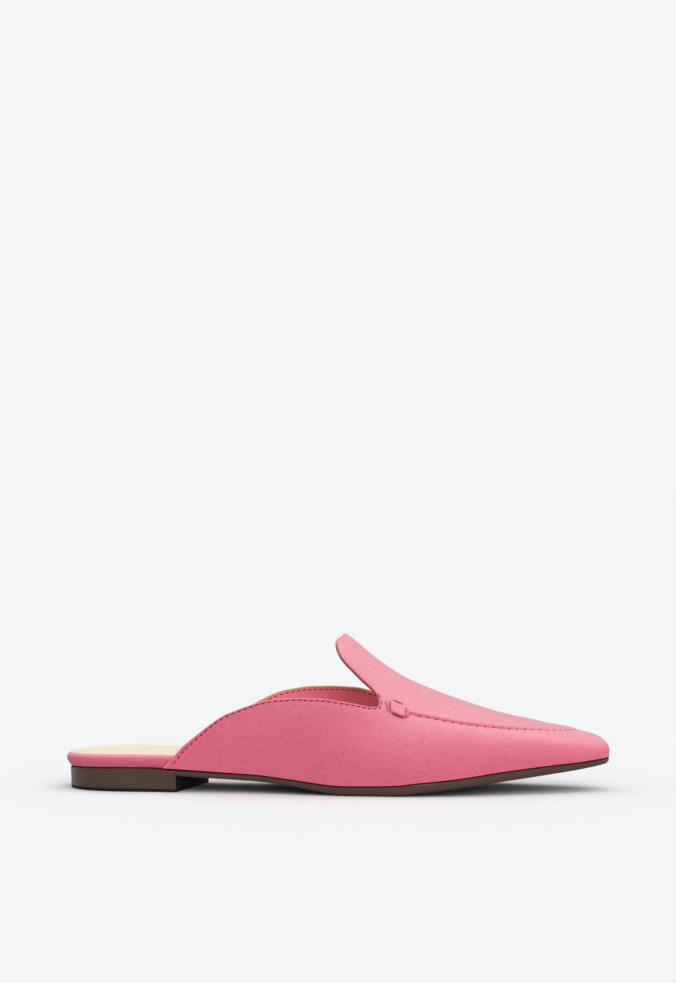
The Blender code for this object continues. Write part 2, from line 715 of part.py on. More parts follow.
def make_heel(group):
    breast = float(along_at(BREAST))
    rings = []
    for along in stations(0, breast):
        top = float(sole_top(along))
        inset = HEEL_INSET * (1 - 0.67 * float(ease(along, breast * 0.7, breast)))
        steps = (
            (inset + HEEL_ROUND, 0.0),
            (inset + 0.3 * HEEL_ROUND, 0.5 * HEEL_ROUND),
            (inset + 0.2 * HEEL_ROUND, top * 0.5),
            (inset, top),
        )
        near_breast = float(ease(along, breast * 0.45, breast))
        rings.append(slab_ring(along, steps, BREAST_SLANT * near_breast, near_breast))
    points, faces = loft(rings, (False, True))
    return solid_object("heel", points, faces, "sole", group)


def tail_along():
    """Where the upper's quarters end on the feather edge."""
    return float(along_at(LENGTH * TOPLINE[0][0]))


def footbed_inset(along):
    """How far the footbed's side lies inside the plan: flush at the heel rim, inside the wall further on."""
    end = tail_along()
    inside_wall = (WALL + GAP) * float(ease(along, end - PASSING_SHARE, end - GAP / LENGTH))
    return inside_wall + TOE_ROOM * float(ease(along, TOE_CURVE, ALONG_TIP))


def footbed_height(along):
    end = tail_along()
    return RIM_HEIGHT + (BOARD_HEIGHT - RIM_HEIGHT) * float(ease(along, end + PASSING_SHARE / 2, end + RIM_FRONT))


def footbed_draw(along):
    """How far the footbed's top edge draws in under the vamp, and more at the tip of the toe."""
    return TOE_DRAW * (float(ease(along, 0.62, 1.0)) + float(ease(along, TOE_CURVE, ALONG_TIP)))


def make_footbed(group):
    end = tail_along()
    rings = []
    for along in stations(0, ALONG_TIP):
        inset = footbed_inset(along)
        height = footbed_height(along)
        low = float(sole_top(along)) + GAP
        taper = RIM_TAPER * (1 - 0.85 * float(ease(along, end - PASSING_SHARE, end + PASSING_SHARE / 2)))
        draw = footbed_draw(along)
        steps = (
            (inset + taper, low),
            (inset + 0.36 * taper, low + 0.30 * height),
            (inset + 0.50 * draw, low + 0.62 * height),
            (inset + 0.30 * RIM_ROUND + 0.75 * draw, low + 0.88 * height),
            (inset + RIM_ROUND + draw, low + height),
            (inset + SOCK_MARGIN - SOCK_ROOM + draw, low + height - SOCK_RECESS),
        )
        rings.append(slab_ring(along, steps))
    points, faces = loft(rings, (False, False))
    return solid_object("footbed", points, faces, "suede", group)


def make_insole_sock(group):
    rings = []
    for along in stations(0, SOCK_END_SHARE):
        inset = footbed_inset(along) + SOCK_MARGIN + footbed_draw(along)
        low = float(sole_top(along)) + GAP + footbed_height(along) - SOCK_RECESS + GAP
        steps = (
            (inset, low),
            (inset, low + 0.6 * SOCK_THICKNESS),
            (inset + 0.6 * SOCK_THICKNESS, low + SOCK_THICKNESS),
        )
        rings.append(slab_ring(along, steps))
    points, faces = loft(rings, (False, True))
    return solid_object("insole_sock", points, faces, "sock", group)


def stand_at_origin(pieces):
    """Moves every piece by the same amount, so that the origin lies under the middle of the shoe."""
    corners = np.array([v.co for piece in pieces for v in piece.data.vertices])
    low = corners.min(axis=0)
    high = corners.max(axis=0)
    shift = Vector((-(low[0] + high[0]) / 2, -(low[1] + high[1]) / 2, -low[2]))
    for piece in pieces:
        piece.data.transform(Matrix.Translation(shift))


def main():
    for old in list(bpy.data.objects):
        bpy.data.objects.remove(old, do_unlink=True)
    group = collection("flat_mule")
    pieces = [
        make_outsole(group),
        make_heel(group),
        make_footbed(group),
        make_insole_sock(group),
        make_upper(group),
        make_keeper("keeper_lateral", -1, group),
        make_keeper("keeper_medial", 1, group),
    ]
    stand_at_origin(pieces)


main()
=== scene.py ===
"""The look of a rose suede mule: stitched upper, cream sock, wrapped footbed and brown sole, on a pale floor.

The last, the sole and the flat pattern are worked out here again, finer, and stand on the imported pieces.
"""

import math
from functools import partial

import bmesh
import bpy
import numpy as np
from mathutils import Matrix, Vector
from mathutils.geometry import delaunay_2d_cdt


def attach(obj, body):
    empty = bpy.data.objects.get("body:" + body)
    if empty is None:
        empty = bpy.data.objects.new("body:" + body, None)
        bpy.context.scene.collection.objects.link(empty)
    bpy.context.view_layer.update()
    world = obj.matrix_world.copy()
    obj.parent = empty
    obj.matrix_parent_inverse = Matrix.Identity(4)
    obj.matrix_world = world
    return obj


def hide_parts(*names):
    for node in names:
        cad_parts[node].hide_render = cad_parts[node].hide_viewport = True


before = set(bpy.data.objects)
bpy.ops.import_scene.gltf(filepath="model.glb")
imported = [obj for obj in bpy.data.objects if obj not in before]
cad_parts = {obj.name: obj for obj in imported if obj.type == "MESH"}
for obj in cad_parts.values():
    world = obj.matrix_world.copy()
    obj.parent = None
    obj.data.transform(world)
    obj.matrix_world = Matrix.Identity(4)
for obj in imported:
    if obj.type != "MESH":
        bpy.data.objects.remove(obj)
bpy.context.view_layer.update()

# Driving dimensions
LENGTH = 0.262  # heel rim to toe tip
BALL_WIDTH = 0.079  # feather edge to feather edge across the ball
HEEL_HEIGHT = 0.0112  # floor to footbed at the breast
WAIST_SOLE = 0.0032  # outsole at the waist
TREAD_SOLE = 0.0052  # outsole under the ball
TOE_SPRING = 0.0126  # outsole's bottom above the floor at the tip
UPPER_HEIGHT = 0.0710  # sole top to the tongue's highest point
COLLAR_HEIGHT = 0.0400  # sole top to the quarters' highest point
WALL = 0.0018  # upper's suede and lining together
GAP = 0.0003  # clearance between pieces
RIM_HEIGHT = 0.0062  # wrapped footbed at the heel
BOARD_HEIGHT = 0.0024  # footbed inside the upper
SOCK_THICKNESS = 0.0007
SOCK_RECESS = 0.0007  # footbed's top below its rim, under the sock
SOCK_MARGIN = 0.0025  # footbed's rim left bare round the sock
SOCK_ROOM = 0.0004  # between the sock's edge and the rim
RIM_TAPER = 0.0022  # how far the heel rim draws in at its foot
RIM_ROUND = 0.0017  # how far it rounds over at its top
RIM_FRONT = 0.34  # how far past the quarters' tails the rim thins out, a share of LENGTH
TOE_DRAW = 0.0012  # how much further in the footbed's top edge lies under the toe
TOE_ROOM = 0.0004  # and its whole side in the toe's tight curve
OUTSOLE_ROUND = 0.0042  # rounding of the outsole's bottom edge
HEEL_INSET = 0.0018  # how far the heel's top edge lies inside the plan
HEEL_ROUND = 0.0010  # rounding of the heel's bottom edge
BREAST = 0.235 * LENGTH  # heel rim to the breast, on the shoe's axis
BREAST_SLANT = 0.20  # how far the breast leans forward towards the medial side, per unit of width
SEAM_RIDGE = 0.0009  # apron seam above the vamp
TOE_RIDGE = 0.0004  # and where it crosses the toe
SEAM_GROOVE = 0.0003  # stitched groove below the vamp's surface
SEAM_WIDTH = 0.0040  # ridge's soft width on the apron
SEAM_PEAK = 0.36  # where its top lies, a share of that width
SEAM_STITCH = 0.20  # half the groove's width, a share of the ridge's
KEEPER_SIZE = 0.0068
KEEPER_THICKNESS = 0.0009
KEEPER_PRESS = 0.60  # how far a keeper presses the seam's ridge down, a share of it
KEEPER_LEAD = 0.0067  # apron seam's end to the keeper's middle
KEEPER_RISE = 0.0004  # the keeper's middle above the seam's groove
HEEL_CURVE = 0.15  # how far along the heel's round end reaches
TOE_CURVE = 1.02  # and where the toe's round end starts
SOCK_END_SHARE = 1.03  # how far along the sock reaches into the toe
PASSING_SHARE = 0.05  # length, a share of LENGTH, over which an edge passes from one course to the next

# Plan: how far round the shoe, then shares of LENGTH for x, and of BALL_WIDTH for the two half widths
PLAN = (
    # along, x, lateral, medial
    (0.000, 0.000, 0.000, 0.000),
    (0.028, 0.004, 0.092, 0.092),
    (0.054, 0.015, 0.172, 0.161),
    (0.082, 0.034, 0.244, 0.222),
    (0.114, 0.061, 0.300, 0.272),
    (0.154, 0.099, 0.334, 0.308),
    (0.200, 0.145, 0.343, 0.324),
    (0.244, 0.191, 0.343, 0.322),
    (0.301, 0.248, 0.347, 0.301),
    (0.358, 0.305, 0.364, 0.286),
    (0.416, 0.363, 0.391, 0.289),
    (0.473, 0.420, 0.425, 0.314),
    (0.523, 0.470, 0.458, 0.355),
    (0.576, 0.523, 0.486, 0.403),
    (0.629, 0.576, 0.504, 0.446),
    (0.683, 0.630, 0.510, 0.478),
    (0.740, 0.687, 0.494, 0.492),
    (0.797, 0.744, 0.451, 0.473),
    (0.855, 0.802, 0.382, 0.428),
    (0.912, 0.859, 0.301, 0.366),
    (0.961, 0.908, 0.227, 0.303),
    (0.999, 0.943, 0.172, 0.257),
    (1.024, 0.964, 0.129, 0.223),
    (1.045, 0.981, 0.091, 0.190),
    (1.061, 0.992, 0.051, 0.152),
    (1.075, 0.998, 0.013, 0.116),
    (1.094, 1.000, -0.052, 0.052),
)

# Sole: pitch is a share of the waist's height, spring of TOE_SPRING, body runs from WAIST_SOLE to TREAD_SOLE
SOLE = (
    # along, pitch, spring, body
    (0.000, 0.88, 0.00, 0.00),
    (0.080, 0.98, 0.00, 0.00),
    (0.190, 1.05, 0.00, 0.00),
    (0.244, 1.01, 0.00, 0.00),
    (0.301, 0.91, 0.00, 0.00),
    (0.358, 0.81, 0.00, 0.00),
    (0.416, 0.70, 0.00, 0.07),
    (0.466, 0.51, 0.00, 0.14),
    (0.523, 0.22, 0.00, 0.40),
    (0.550, 0.07, 0.00, 0.58),
    (0.573, 0.00, 0.00, 0.70),
    (0.629, 0.00, 0.00, 0.78),
    (0.662, 0.00, 0.00, 0.92),
    (0.710, 0.00, 0.09, 1.00),
    (0.745, 0.00, 0.17, 0.92),
    (0.797, 0.00, 0.30, 0.86),
    (0.855, 0.00, 0.46, 0.90),
    (0.908, 0.00, 0.59, 0.85),
    (0.966, 0.00, 0.74, 0.60),
    (0.999, 0.00, 0.82, 0.40),
    (1.045, 0.00, 0.94, 0.20),
    (1.094, 0.00, 1.04, 0.00),
)

# Last: axis, lag and the flares are shares of BALL_WIDTH, rise of UPPER_HEIGHT, side and crown of the section
LAST = (
    # along, axis, rise, lag, lateral flare, medial flare, side, crown
    (0.200, 0.000, 1.250, 0.000, 0.012, 0.012, 0.50, 0.78),
    (0.301, 0.000, 1.250, 0.000, 0.018, 0.040, 0.50, 0.76),
    (0.358, 0.000, 1.250, 0.000, 0.020, 0.070, 0.50, 0.75),
    (0.416, 0.000, 1.240, 0.000, 0.020, 0.080, 0.50, 0.75),
    (0.473, 0.000, 1.200, 0.000, 0.020, 0.075, 0.50, 0.76),
    (0.523, 0.006, 1.100, 0.000, 0.020, 0.055, 0.54, 0.79),
    (0.576, 0.012, 0.966, 0.000, 0.020, 0.035, 0.58, 0.80),
    (0.629, 0.016, 0.804, 0.000, 0.020, 0.025, 0.55, 0.70),
    (0.683, 0.019, 0.670, 0.000, 0.020, 0.022, 0.56, 0.67),
    (0.740, 0.020, 0.555, 0.000, 0.018, 0.020, 0.60, 0.72),
    (0.797, 0.022, 0.456, 0.000, 0.016, 0.016, 0.64, 0.78),
    (0.855, 0.025, 0.361, 0.000, 0.014, 0.014, 0.66, 0.80),
    (0.912, 0.032, 0.293, 0.000, 0.012, 0.012, 0.66, 0.80),
    (0.961, 0.040, 0.237, 0.003, 0.010, 0.010, 0.64, 0.78),
    (0.999, 0.044, 0.204, 0.020, 0.008, 0.008, 0.62, 0.74),
    (1.024, 0.048, 0.177, 0.026, 0.006, 0.006, 0.60, 0.70),
    (1.045, 0.050, 0.153, 0.026, 0.005, 0.005, 0.58, 0.66),
    (1.061, 0.051, 0.122, 0.016, 0.003, 0.003, 0.56, 0.62),
    (1.075, 0.052, 0.078, 0.003, 0.002, 0.002, 0.56, 0.60),
    (1.085, 0.052, 0.042, -0.003, 0.001, 0.001, 0.56, 0.58),
    (1.094, 0.052, 0.000, 0.000, 0.000, 0.000, 0.56, 0.56),
)

# Topline of each quarter, from its tail to the notch: x of LENGTH, heights of COLLAR_HEIGHT above the sole
TOPLINE = (
    # x, lateral, medial
    (0.191, 0.000, 0.000),
    (0.206, 0.107, 0.104),
    (0.229, 0.285, 0.275),
    (0.248, 0.395, 0.375),
    (0.275, 0.545, 0.505),
    (0.302, 0.675, 0.625),
    (0.328, 0.755, 0.698),
    (0.355, 0.830, 0.798),
    (0.385, 0.900, 0.903),
    (0.420, 0.952, 0.978),
    (0.455, 0.986, 1.028),
    (0.490, 1.008, 1.057),
    (0.527, 0.987, 1.055),
    (0.557, 0.950, 1.010),
    (0.588, 0.930, 0.975),
)

# Tongue's edge, from the notch up to its corner: x of LENGTH, height of UPPER_HEIGHT above the sole
TONGUE_EDGE = (
    # x, height
    (0.588, 0.565),
    (0.571, 0.643),
    (0.550, 0.715),
    (0.530, 0.787),
    (0.512, 0.864),
    (0.499, 0.942),
)
TONGUE_END_SHARE = 0.516  # x of the tongue's end on the ridge, a share of LENGTH
NOTCH_CURVE = 0.0026  # length of edge taken up by the notch's curve
TONGUE_CURVE = 0.0080  # and by the tongue's corner

# Apron seam, from the keeper to the toe: x of LENGTH, distance from the ridge as a share of the half girth
SEAM = (
    # x, girth
    (0.594, 0.480),
    (0.630, 0.507),
    (0.683, 0.527),
    (0.733, 0.540),
    (0.798, 0.528),
    (0.844, 0.496),
    (0.878, 0.440),
    (0.908, 0.345),
    (0.930, 0.215),
)
SEAM_TOE_SHARE = 0.947  # x where the seam crosses the ridge, a share of LENGTH

# Sizes of the scene's own detail
FINE_STEP = 0.0012  # spacing of the fine upper's facets
SEAM_LINES = (-0.40, -0.20, -0.10, 0.0, 0.10, 0.20, 0.36, 0.55, 0.75, 1.0, 1.2)  # facets, of SEAM_WIDTH
EDGE_ROLL = 0.00045  # how far the topline's rounded edge stands out
EDGE_TURNS = 5  # points round that edge
STITCH_MARGIN = 0.0010  # topline's edge to its stitches
TAIL_MARGIN = 0.0022  # and at the quarters' tails
TAIL_REACH = 0.045  # how far from the tails the margin narrows
STITCH_PITCH = 0.0031
STITCH_LENGTH = 0.0022
STITCH_THICK = 0.00060
TONGUE_STITCH_PITCH = 0.0027
TONGUE_STITCH_LENGTH = 0.0009
TONGUE_STITCH_THICK = 0.00040
STITCH_SINK = 0.00020  # depth of the channel the stitches pull
LIP_RISE = 0.00018  # rise of the suede between the stitches and the edge
SEAM_STITCH_PITCH = 0.0040
SEAM_STITCH_LENGTH = 0.0016
LINING_EDGE = 0.0009  # tan edge of the lining inside the topline
SOLE_STATIONS = 150  # sections of each fine sole piece
ACROSS = 14  # points across a fine sole piece
ROUND_STEPS = 14  # points round a fine sole piece's side
# thickness of the dark rolls of painted shade in the keepers' slits and creases
SLIT_SHADE_THICK = 0.0006
KEEPER_ROLL = 0.0018  # the seam's roll squeezed out beside a keeper
SOLE_CHAMFER = 0.0005  # top edge chamfer of the sole pieces under the upper, its faces dark red painted shade of the gap there
STATION_ROOM = 0.0002  # least distance between sections, a share of LENGTH
MARGIN_LINES = (0.5, 1.0, 1.4)  # lines of facets along the topline, shares of the stitches' margin
TONGUE_FADE = 0.004  # stretch over which the painted shade on the tongue's cut edge fades in
FORM_FADE = 0.005  # stretch above the feather edge where the soft forms fade in
FRAME_STEP = 0.0003  # distance over which the last's slope is taken
WELD = 2e-6  # points closer than this become one
KEEPER_SINK = 0.0004  # how far a keeper's underside sinks into the suede
KEEPER_EDGE = 0.00025  # rounding of its edge
KEEPER_BEND = 0.0009  # how far the rolls beside it bow out
SOCK_DISH = -0.0002  # how far the sock's middle lies below its edge

# Soft hollows and rises: x of LENGTH, share of the half girth, half length and width, turn, height
SOFT_FORMS = (
    # x, share, length, width, turn, height
    (0.560, -0.66, 0.026, 0.0065, 40, -0.00042),
    (0.640, -0.74, 0.026, 0.0070, 54, 0.00026),
    (0.470, -0.70, 0.030, 0.0080, 14, 0.00024),
    (0.380, -0.66, 0.026, 0.0080, 32, -0.00026),
    (0.745, -0.76, 0.022, 0.0060, 66, -0.00018),
    (0.560, 0.66, 0.026, 0.0065, -40, -0.00040),
    (0.640, 0.74, 0.026, 0.0070, -54, 0.00026),
    (0.450, 0.68, 0.030, 0.0080, -16, 0.00024),
    (0.370, 0.64, 0.026, 0.0080, -32, -0.00024),
    (0.640, 0.05, 0.010, 0.0160, 4, -0.00026),
)

# Photograph's view
VIEW_TURN = 4.5  # degrees round towards the toe
VIEW_RISE = 4.8  # degrees above the floor
VIEW_DISTANCE = 1.6
VIEW_LENS = 121.73  # millimetres
VIEW_SHIFT = (0.00157, 0.23883)  # shares of the picture's longer side
VIEW_TARGET = (0.0, 0.0, 0.03)

# Points of the small curves
CURVE_STEPS = 8  # of the notch and the tongue's corner
ROLL_STEPS = 7  # sections along a stitch
ROLL_SIDES = 8  # points round it
KEEPER_CELLS = 24  # facets along each side of a keeper

# Colours
SUEDE_TOP_LIGHT_TONES = (
    # how far the surface faces up, from the side to the top: the side's stop is the suede's own rose, the
    # paler stops above it are painted top light
    (0.0, (0.71, 0.145, 0.225)),
    (0.35, (0.77, 0.200, 0.275)),
    (0.65, (0.83, 0.320, 0.385)),
    (1.0, (0.80, 0.330, 0.390)),
)
RIDGE_PALE = 0.22  # painted highlight: how far the seam's ridge is moved towards the top's paler tone
WALL_PAINTED_SHADE = 0.45  # how much painted shade darkens the tongue's cut edge, which faces down and back
LINING_TAN = (0.60, 0.29, 0.10)
LINING_PINK = (0.93, 0.22, 0.30)
COAT_ROUGHNESS = 0.18
LEATHERS = (
    # name, colour, pore size and depth, streak depth, roughness, relief and its height, gloss, coat
    # this thread's material also colours the keepers' painted shade lines in their slits and creases
    ("dark_rose_thread_and_slit_shade", (0.32, 0.018, 0.042), 0.0003, 0.30, 0.20, 0.70, 0.40, 0.00010, 0.05, 0.0),
    ("rose_thread", (0.42, 0.07, 0.11), 0.0003, 0.30, 0.20, 0.70, 0.40, 0.00010, 0.05, 0.0),
    ("cream_sock_leather", (0.94, 0.82, 0.63), 0.0008, 0.10, 0.05, 0.55, 0.30, 0.00015, 0.35, 0.0),
    ("brown_sole_leather", (0.080, 0.043, 0.028), 0.0007, 0.12, 0.34, 0.42, 0.20, 0.00012, 0.25, 0.22),
    ("brown_heel_leather", (0.074, 0.040, 0.026), 0.0007, 0.12, 0.34, 0.36, 0.20, 0.00012, 0.25, 0.22),
    # painted shade: near-black on the heel's breast, where little light reaches
    ("breast_painted_shade", (0.014, 0.008, 0.006), 0.0005, 0.15, 0.10, 0.80, 0.15, 0.00010, 0.20, 0.0),
    # painted contact shadow: a black band along the heel's foot, where it meets the floor
    ("heel_foot_painted_shadow", (0.012, 0.010, 0.010), 0.0005, 0.15, 0.10, 0.60, 0.15, 0.00010, 0.20, 0.0),
    # painted shade: dark red in the gap between the upper and the sole pieces' top edge
    ("dark_red_gap_shade", (0.09, 0.010, 0.016), 0.0005, 0.15, 0.10, 0.80, 0.15, 0.00010, 0.20, 0.0),
)

# Setting
FLOOR_REACH = 12.0  # half the floor's side
FLOOR_PALE = (0.86, 0.868, 0.882)
FLOOR_SHARE = 0.72  # of the floor's light that reaches the shoe
BACKDROP = (0.913, 0.922, 0.939)
ROOM_LIGHT = 0.62
# the room's light from below and from overhead
ROOM = ((0.0, (0.70, 0.71, 0.73)), (1.0, (1.45, 1.45, 1.45)))
LIGHTS = (
    # name, direction towards the light, strength, spread in degrees, colour
    ("front_light", (0.35, -1.0, 0.45), 1.15, 40, (1.0, 0.99, 0.985)),
    ("overhead_light", (0.30, 0.05, 1.0), 0.55, 60, (1.0, 0.99, 0.985)),
)


def column(table, index, at):
    """One column of a table, read at any place along it on a curve with no overshoot."""
    rows = np.array(table, float)
    x = rows[:, 0]
    y = rows[:, index]
    step = np.diff(x)
    slope = np.diff(y) / step
    tangent = np.zeros_like(y)
    tangent[0] = slope[0]
    tangent[-1] = slope[-1]
    same = slope[1:] * slope[:-1] > 0
    before = 2 * step[1:] + step[:-1]
    after = step[1:] + 2 * step[:-1]
    safe_before = np.where(same, slope[:-1], 1)
    safe_after = np.where(same, slope[1:], 1)
    mean = (before + after) / (before / safe_before + after / safe_after)
    tangent[1:-1] = np.where(same, mean, 0)
    at = np.clip(np.asarray(at, float), x[0], x[-1])
    i = np.clip(np.searchsorted(x, at, side="right") - 1, 0, len(step) - 1)
    s = (at - x[i]) / step[i]
    return (
        (1 + 2 * s) * (1 - s) ** 2 * y[i]
        + s * (1 - s) ** 2 * step[i] * tangent[i]
        + s**2 * (3 - 2 * s) * y[i + 1]
        + s**2 * (s - 1) * step[i] * tangent[i + 1]
    )


def ease(x, low, high):
    """0 below low, 1 above high, smooth between."""
    s = np.clip((np.asarray(x, float) - low) / (high - low), 0, 1)
    return s * s * (3 - 2 * s)


def unit(vectors):
    return vectors / np.linalg.norm(vectors, axis=-1, keepdims=True)


def reach_along(run):
    """How far along a run each of its points lies."""
    return np.concatenate([[0], np.cumsum(np.linalg.norm(np.diff(run, axis=0), axis=1))])


# Plan and sole profile
ALONG_TIP = PLAN[-1][0]


def plan_x(along):
    return LENGTH * column(PLAN, 1, along)


def along_at(x):
    """The station whose plan point lies at x, behind the toe's curve."""
    fine = np.linspace(0, ALONG_TIP, 2000)
    return np.interp(x, plan_x(fine), fine)


def edge_point(along, side):
    """A point of the feather edge in plan; side is -1 for lateral and 1 for medial."""
    half = column(PLAN, 2 if side < 0 else 3, along)
    return np.stack([plan_x(along), side * BALL_WIDTH * half], axis=-1)


def edge_inward(along, side):
    """The unit direction in plan from the feather edge into the shoe."""
    step = 0.002
    low, high = (np.clip(np.asarray(along, float) + way, 0, ALONG_TIP) for way in (-step, step))
    run = edge_point(high, side) - edge_point(low, side)
    inward = unit(np.stack([side * run[..., 1], -side * run[..., 0]], axis=-1))
    inward[np.asarray(along) <= 0] = (1, 0)
    inward[np.asarray(along) >= ALONG_TIP] = (-1, 0)
    return inward


def sole_bottom(along):
    waist = HEEL_HEIGHT - WAIST_SOLE
    return waist * column(SOLE, 1, along) + TOE_SPRING * column(SOLE, 2, along)


def sole_top(along):
    body = WAIST_SOLE + (TREAD_SOLE - WAIST_SOLE) * column(SOLE, 3, along)
    return sole_bottom(along) + body


# Last
SECTION_STEPS = 40


def section(along):
    """Sections of the last from the lateral feather to the medial, with girths from the ridge."""
    along = np.atleast_1d(np.asarray(along, float))
    axis = BALL_WIDTH * column(LAST, 1, along)
    rise = UPPER_HEIGHT * column(LAST, 2, along)
    lag = BALL_WIDTH * column(LAST, 3, along)
    side_share = column(LAST, 6, along)
    crown_share = column(LAST, 7, along)
    foot = sole_top(along) + GAP
    ridge = np.stack([plan_x(along) - lag, axis, foot + rise], axis=-1)
    halves = []
    for side in (-1, 1):
        edge = edge_point(along, side)
        flare = BALL_WIDTH * column(LAST, 4 if side < 0 else 5, along)
        feather = np.stack([edge[..., 0], edge[..., 1], foot], axis=-1)
        shoulder = feather + np.stack([-0.5 * lag, side * flare, side_share * rise], axis=-1)
        reach = crown_share * (side * (edge[..., 1] - axis) + flare)
        crown = ridge + np.stack([np.zeros_like(lag), side * reach, np.zeros_like(lag)], axis=-1)
        s = np.linspace(0, 1, SECTION_STEPS + 1)[:, None, None]
        curve = (
            (1 - s) ** 3 * feather
            + 3 * (1 - s) ** 2 * s * shoulder
            + 3 * (1 - s) * s**2 * crown
            + s**3 * ridge
        )
        halves.append(curve)
    points = np.concatenate([halves[0], halves[1][::-1][1:]], axis=0)
    length = np.linalg.norm(np.diff(points, axis=0), axis=-1)
    girth = np.concatenate([np.zeros((1, len(along))), np.cumsum(length, axis=0)], axis=0)
    girth = girth - girth[SECTION_STEPS]
    return points, girth


def half_girths(along):
    """Distance from the ridge to each feather edge, lateral as a negative number."""
    _, girth = section(along)
    return girth[0], girth[-1]


def girth_at_height(along, height, side):
    """Where a section is this high above the floor, on one side of the ridge."""
    points, girth = section(along)
    half = slice(None, SECTION_STEPS + 1) if side < 0 else slice(None, SECTION_STEPS - 1, -1)
    heights = enumerate(np.atleast_1d(height))
    return np.array([np.interp(target, points[half, i, 2], girth[half, i]) for i, target in heights])


def last_point(flat):
    """Points of the flat pattern, as (distance along, girth), wrapped on the last."""
    points, girth = section(flat[:, 0] / LENGTH)
    wrapped = np.empty((len(flat), 3))
    for axis in range(3):
        for i, g in enumerate(flat[:, 1]):
            wrapped[i, axis] = np.interp(g, girth[:, i], points[:, i, axis])
    return wrapped


# Flat pattern: the first coordinate is the distance along in metres, the second the girth from the ridge
def smooth_run(points, count):
    """A smooth curve through points, as count points spread evenly along it."""
    points = np.array(points, float)
    reach = reach_along(points)
    table = np.column_stack([reach, points])
    fine = np.linspace(0, reach[-1], 40 * len(points))
    curve = np.column_stack([column(table, 1, fine), column(table, 2, fine)])
    length = reach_along(curve)
    even = np.linspace(0, length[-1], count)
    return np.column_stack([np.interp(even, length, curve[:, 0]), np.interp(even, length, curve[:, 1])])


def run_length(points):
    return float(np.linalg.norm(np.diff(np.array(points), axis=0), axis=1).sum())


def evenly(points, step):
    return smooth_run(points, max(3, math.ceil(run_length(points) / step) + 1))


def cut_back(run, reach):
    """A run without the last stretch of this length."""
    left = reach_along(run[::-1])[::-1]
    kept = run[left > reach * 1.2]
    i = len(kept) - 1
    share = (left[i] - reach) / (left[i] - left[i + 1])
    return np.vstack([kept, run[i] + share * (run[i + 1] - run[i])])


def join_runs(first, second, reach, steps):
    """Two runs that meet in a corner, joined by a curve that takes this length off each."""
    corner = second[0]
    start = cut_back(first, reach)
    end = cut_back(second[::-1], reach)[::-1]
    s = np.linspace(0, 1, steps + 2)[1:-1, None]
    curve = (1 - s) ** 2 * start[-1] + 2 * (1 - s) * s * corner + s**2 * end[0]
    return np.vstack([start, curve, end])


def seam_line(step):
    """The apron seam as one run from the medial keeper round the toe to the lateral one."""
    stations = along_at(LENGTH * np.array([row[0] for row in SEAM]))
    shares = np.array([row[1] for row in SEAM])
    near, far = (np.column_stack([stations * LENGTH, shares * girth]) for girth in half_girths(stations))
    toe = [[along_at(LENGTH * SEAM_TOE_SHARE) * LENGTH, 0.0]]
    return evenly(np.vstack([far, toe, near[::-1]]), step)


def beside(run, distance):
    """A run moved sideways in the flat pattern, towards its right hand for a positive distance."""
    ahead = np.gradient(run, axis=0)
    return run + distance * unit(np.column_stack([ahead[:, 1], -ahead[:, 0]]))


def distances(points, run):
    """For each point, the shortest distance to a run, on which side it lies, and how far along it."""
    best = np.full(len(points), np.inf)
    side = np.zeros(len(points))
    place = np.zeros(len(points))
    start = 0.0
    for a, b in zip(run[:-1], run[1:]):
        ab = b - a
        length = np.linalg.norm(ab)
        s = np.clip(((points - a) @ ab) / length**2, 0, 1)
        off = points - (a + s[:, None] * ab)
        d = np.linalg.norm(off, axis=1)
        nearer = d < best
        best = np.where(nearer, d, best)
        cross = ab[0] * off[:, 1] - ab[1] * off[:, 0]
        side = np.where(nearer, -np.sign(cross), side)
        place = np.where(nearer, start + s * length, place)
        start += length
    return best, side, place


def seam_height(flat, seam):
    """Height of the apron seam's groove and ridge above the last at flat points."""
    distance, side, place = distances(flat, seam)
    total = run_length(seam)
    q = distance * np.where(side == 0, 1, side)
    ends = np.minimum(place, total - place)
    fade = ease(ends, 0, SEAM_WIDTH / 2)
    peak = SEAM_WIDTH * SEAM_PEAK
    rising = ease(q, 0, peak)
    falling = 1 - ease(q, peak, SEAM_WIDTH)
    top = SEAM_RIDGE + (TOE_RIDGE - SEAM_RIDGE) * ease(ends, 0.25 * total, 0.5 * total)
    pressed = 1 - KEEPER_PRESS * (1 - ease(np.abs(ends - KEEPER_LEAD), KEEPER_SIZE / 2, KEEPER_SIZE))
    ridge = top * pressed * rising * falling
    groove = SEAM_GROOVE * (1 - ease(np.abs(q), 0, SEAM_WIDTH * SEAM_STITCH))
    beyond = 1 - ease(distance, SEAM_WIDTH * 1.02, SEAM_WIDTH * 1.1)
    return (ridge - groove) * fade * beyond


def inside(points, loop):
    """Which points lie inside a closed loop."""
    hit = np.zeros(len(points), bool)
    for a, b in zip(loop, np.roll(loop, -1, axis=0)):
        spans = (a[1] > points[:, 1]) != (b[1] > points[:, 1])
        level = np.where(a[1] == b[1], 1.0, b[1] - a[1])
        cross = a[0] + (points[:, 1] - a[1]) * (b[0] - a[0]) / level
        hit ^= spans & (points[:, 0] < cross)
    return hit


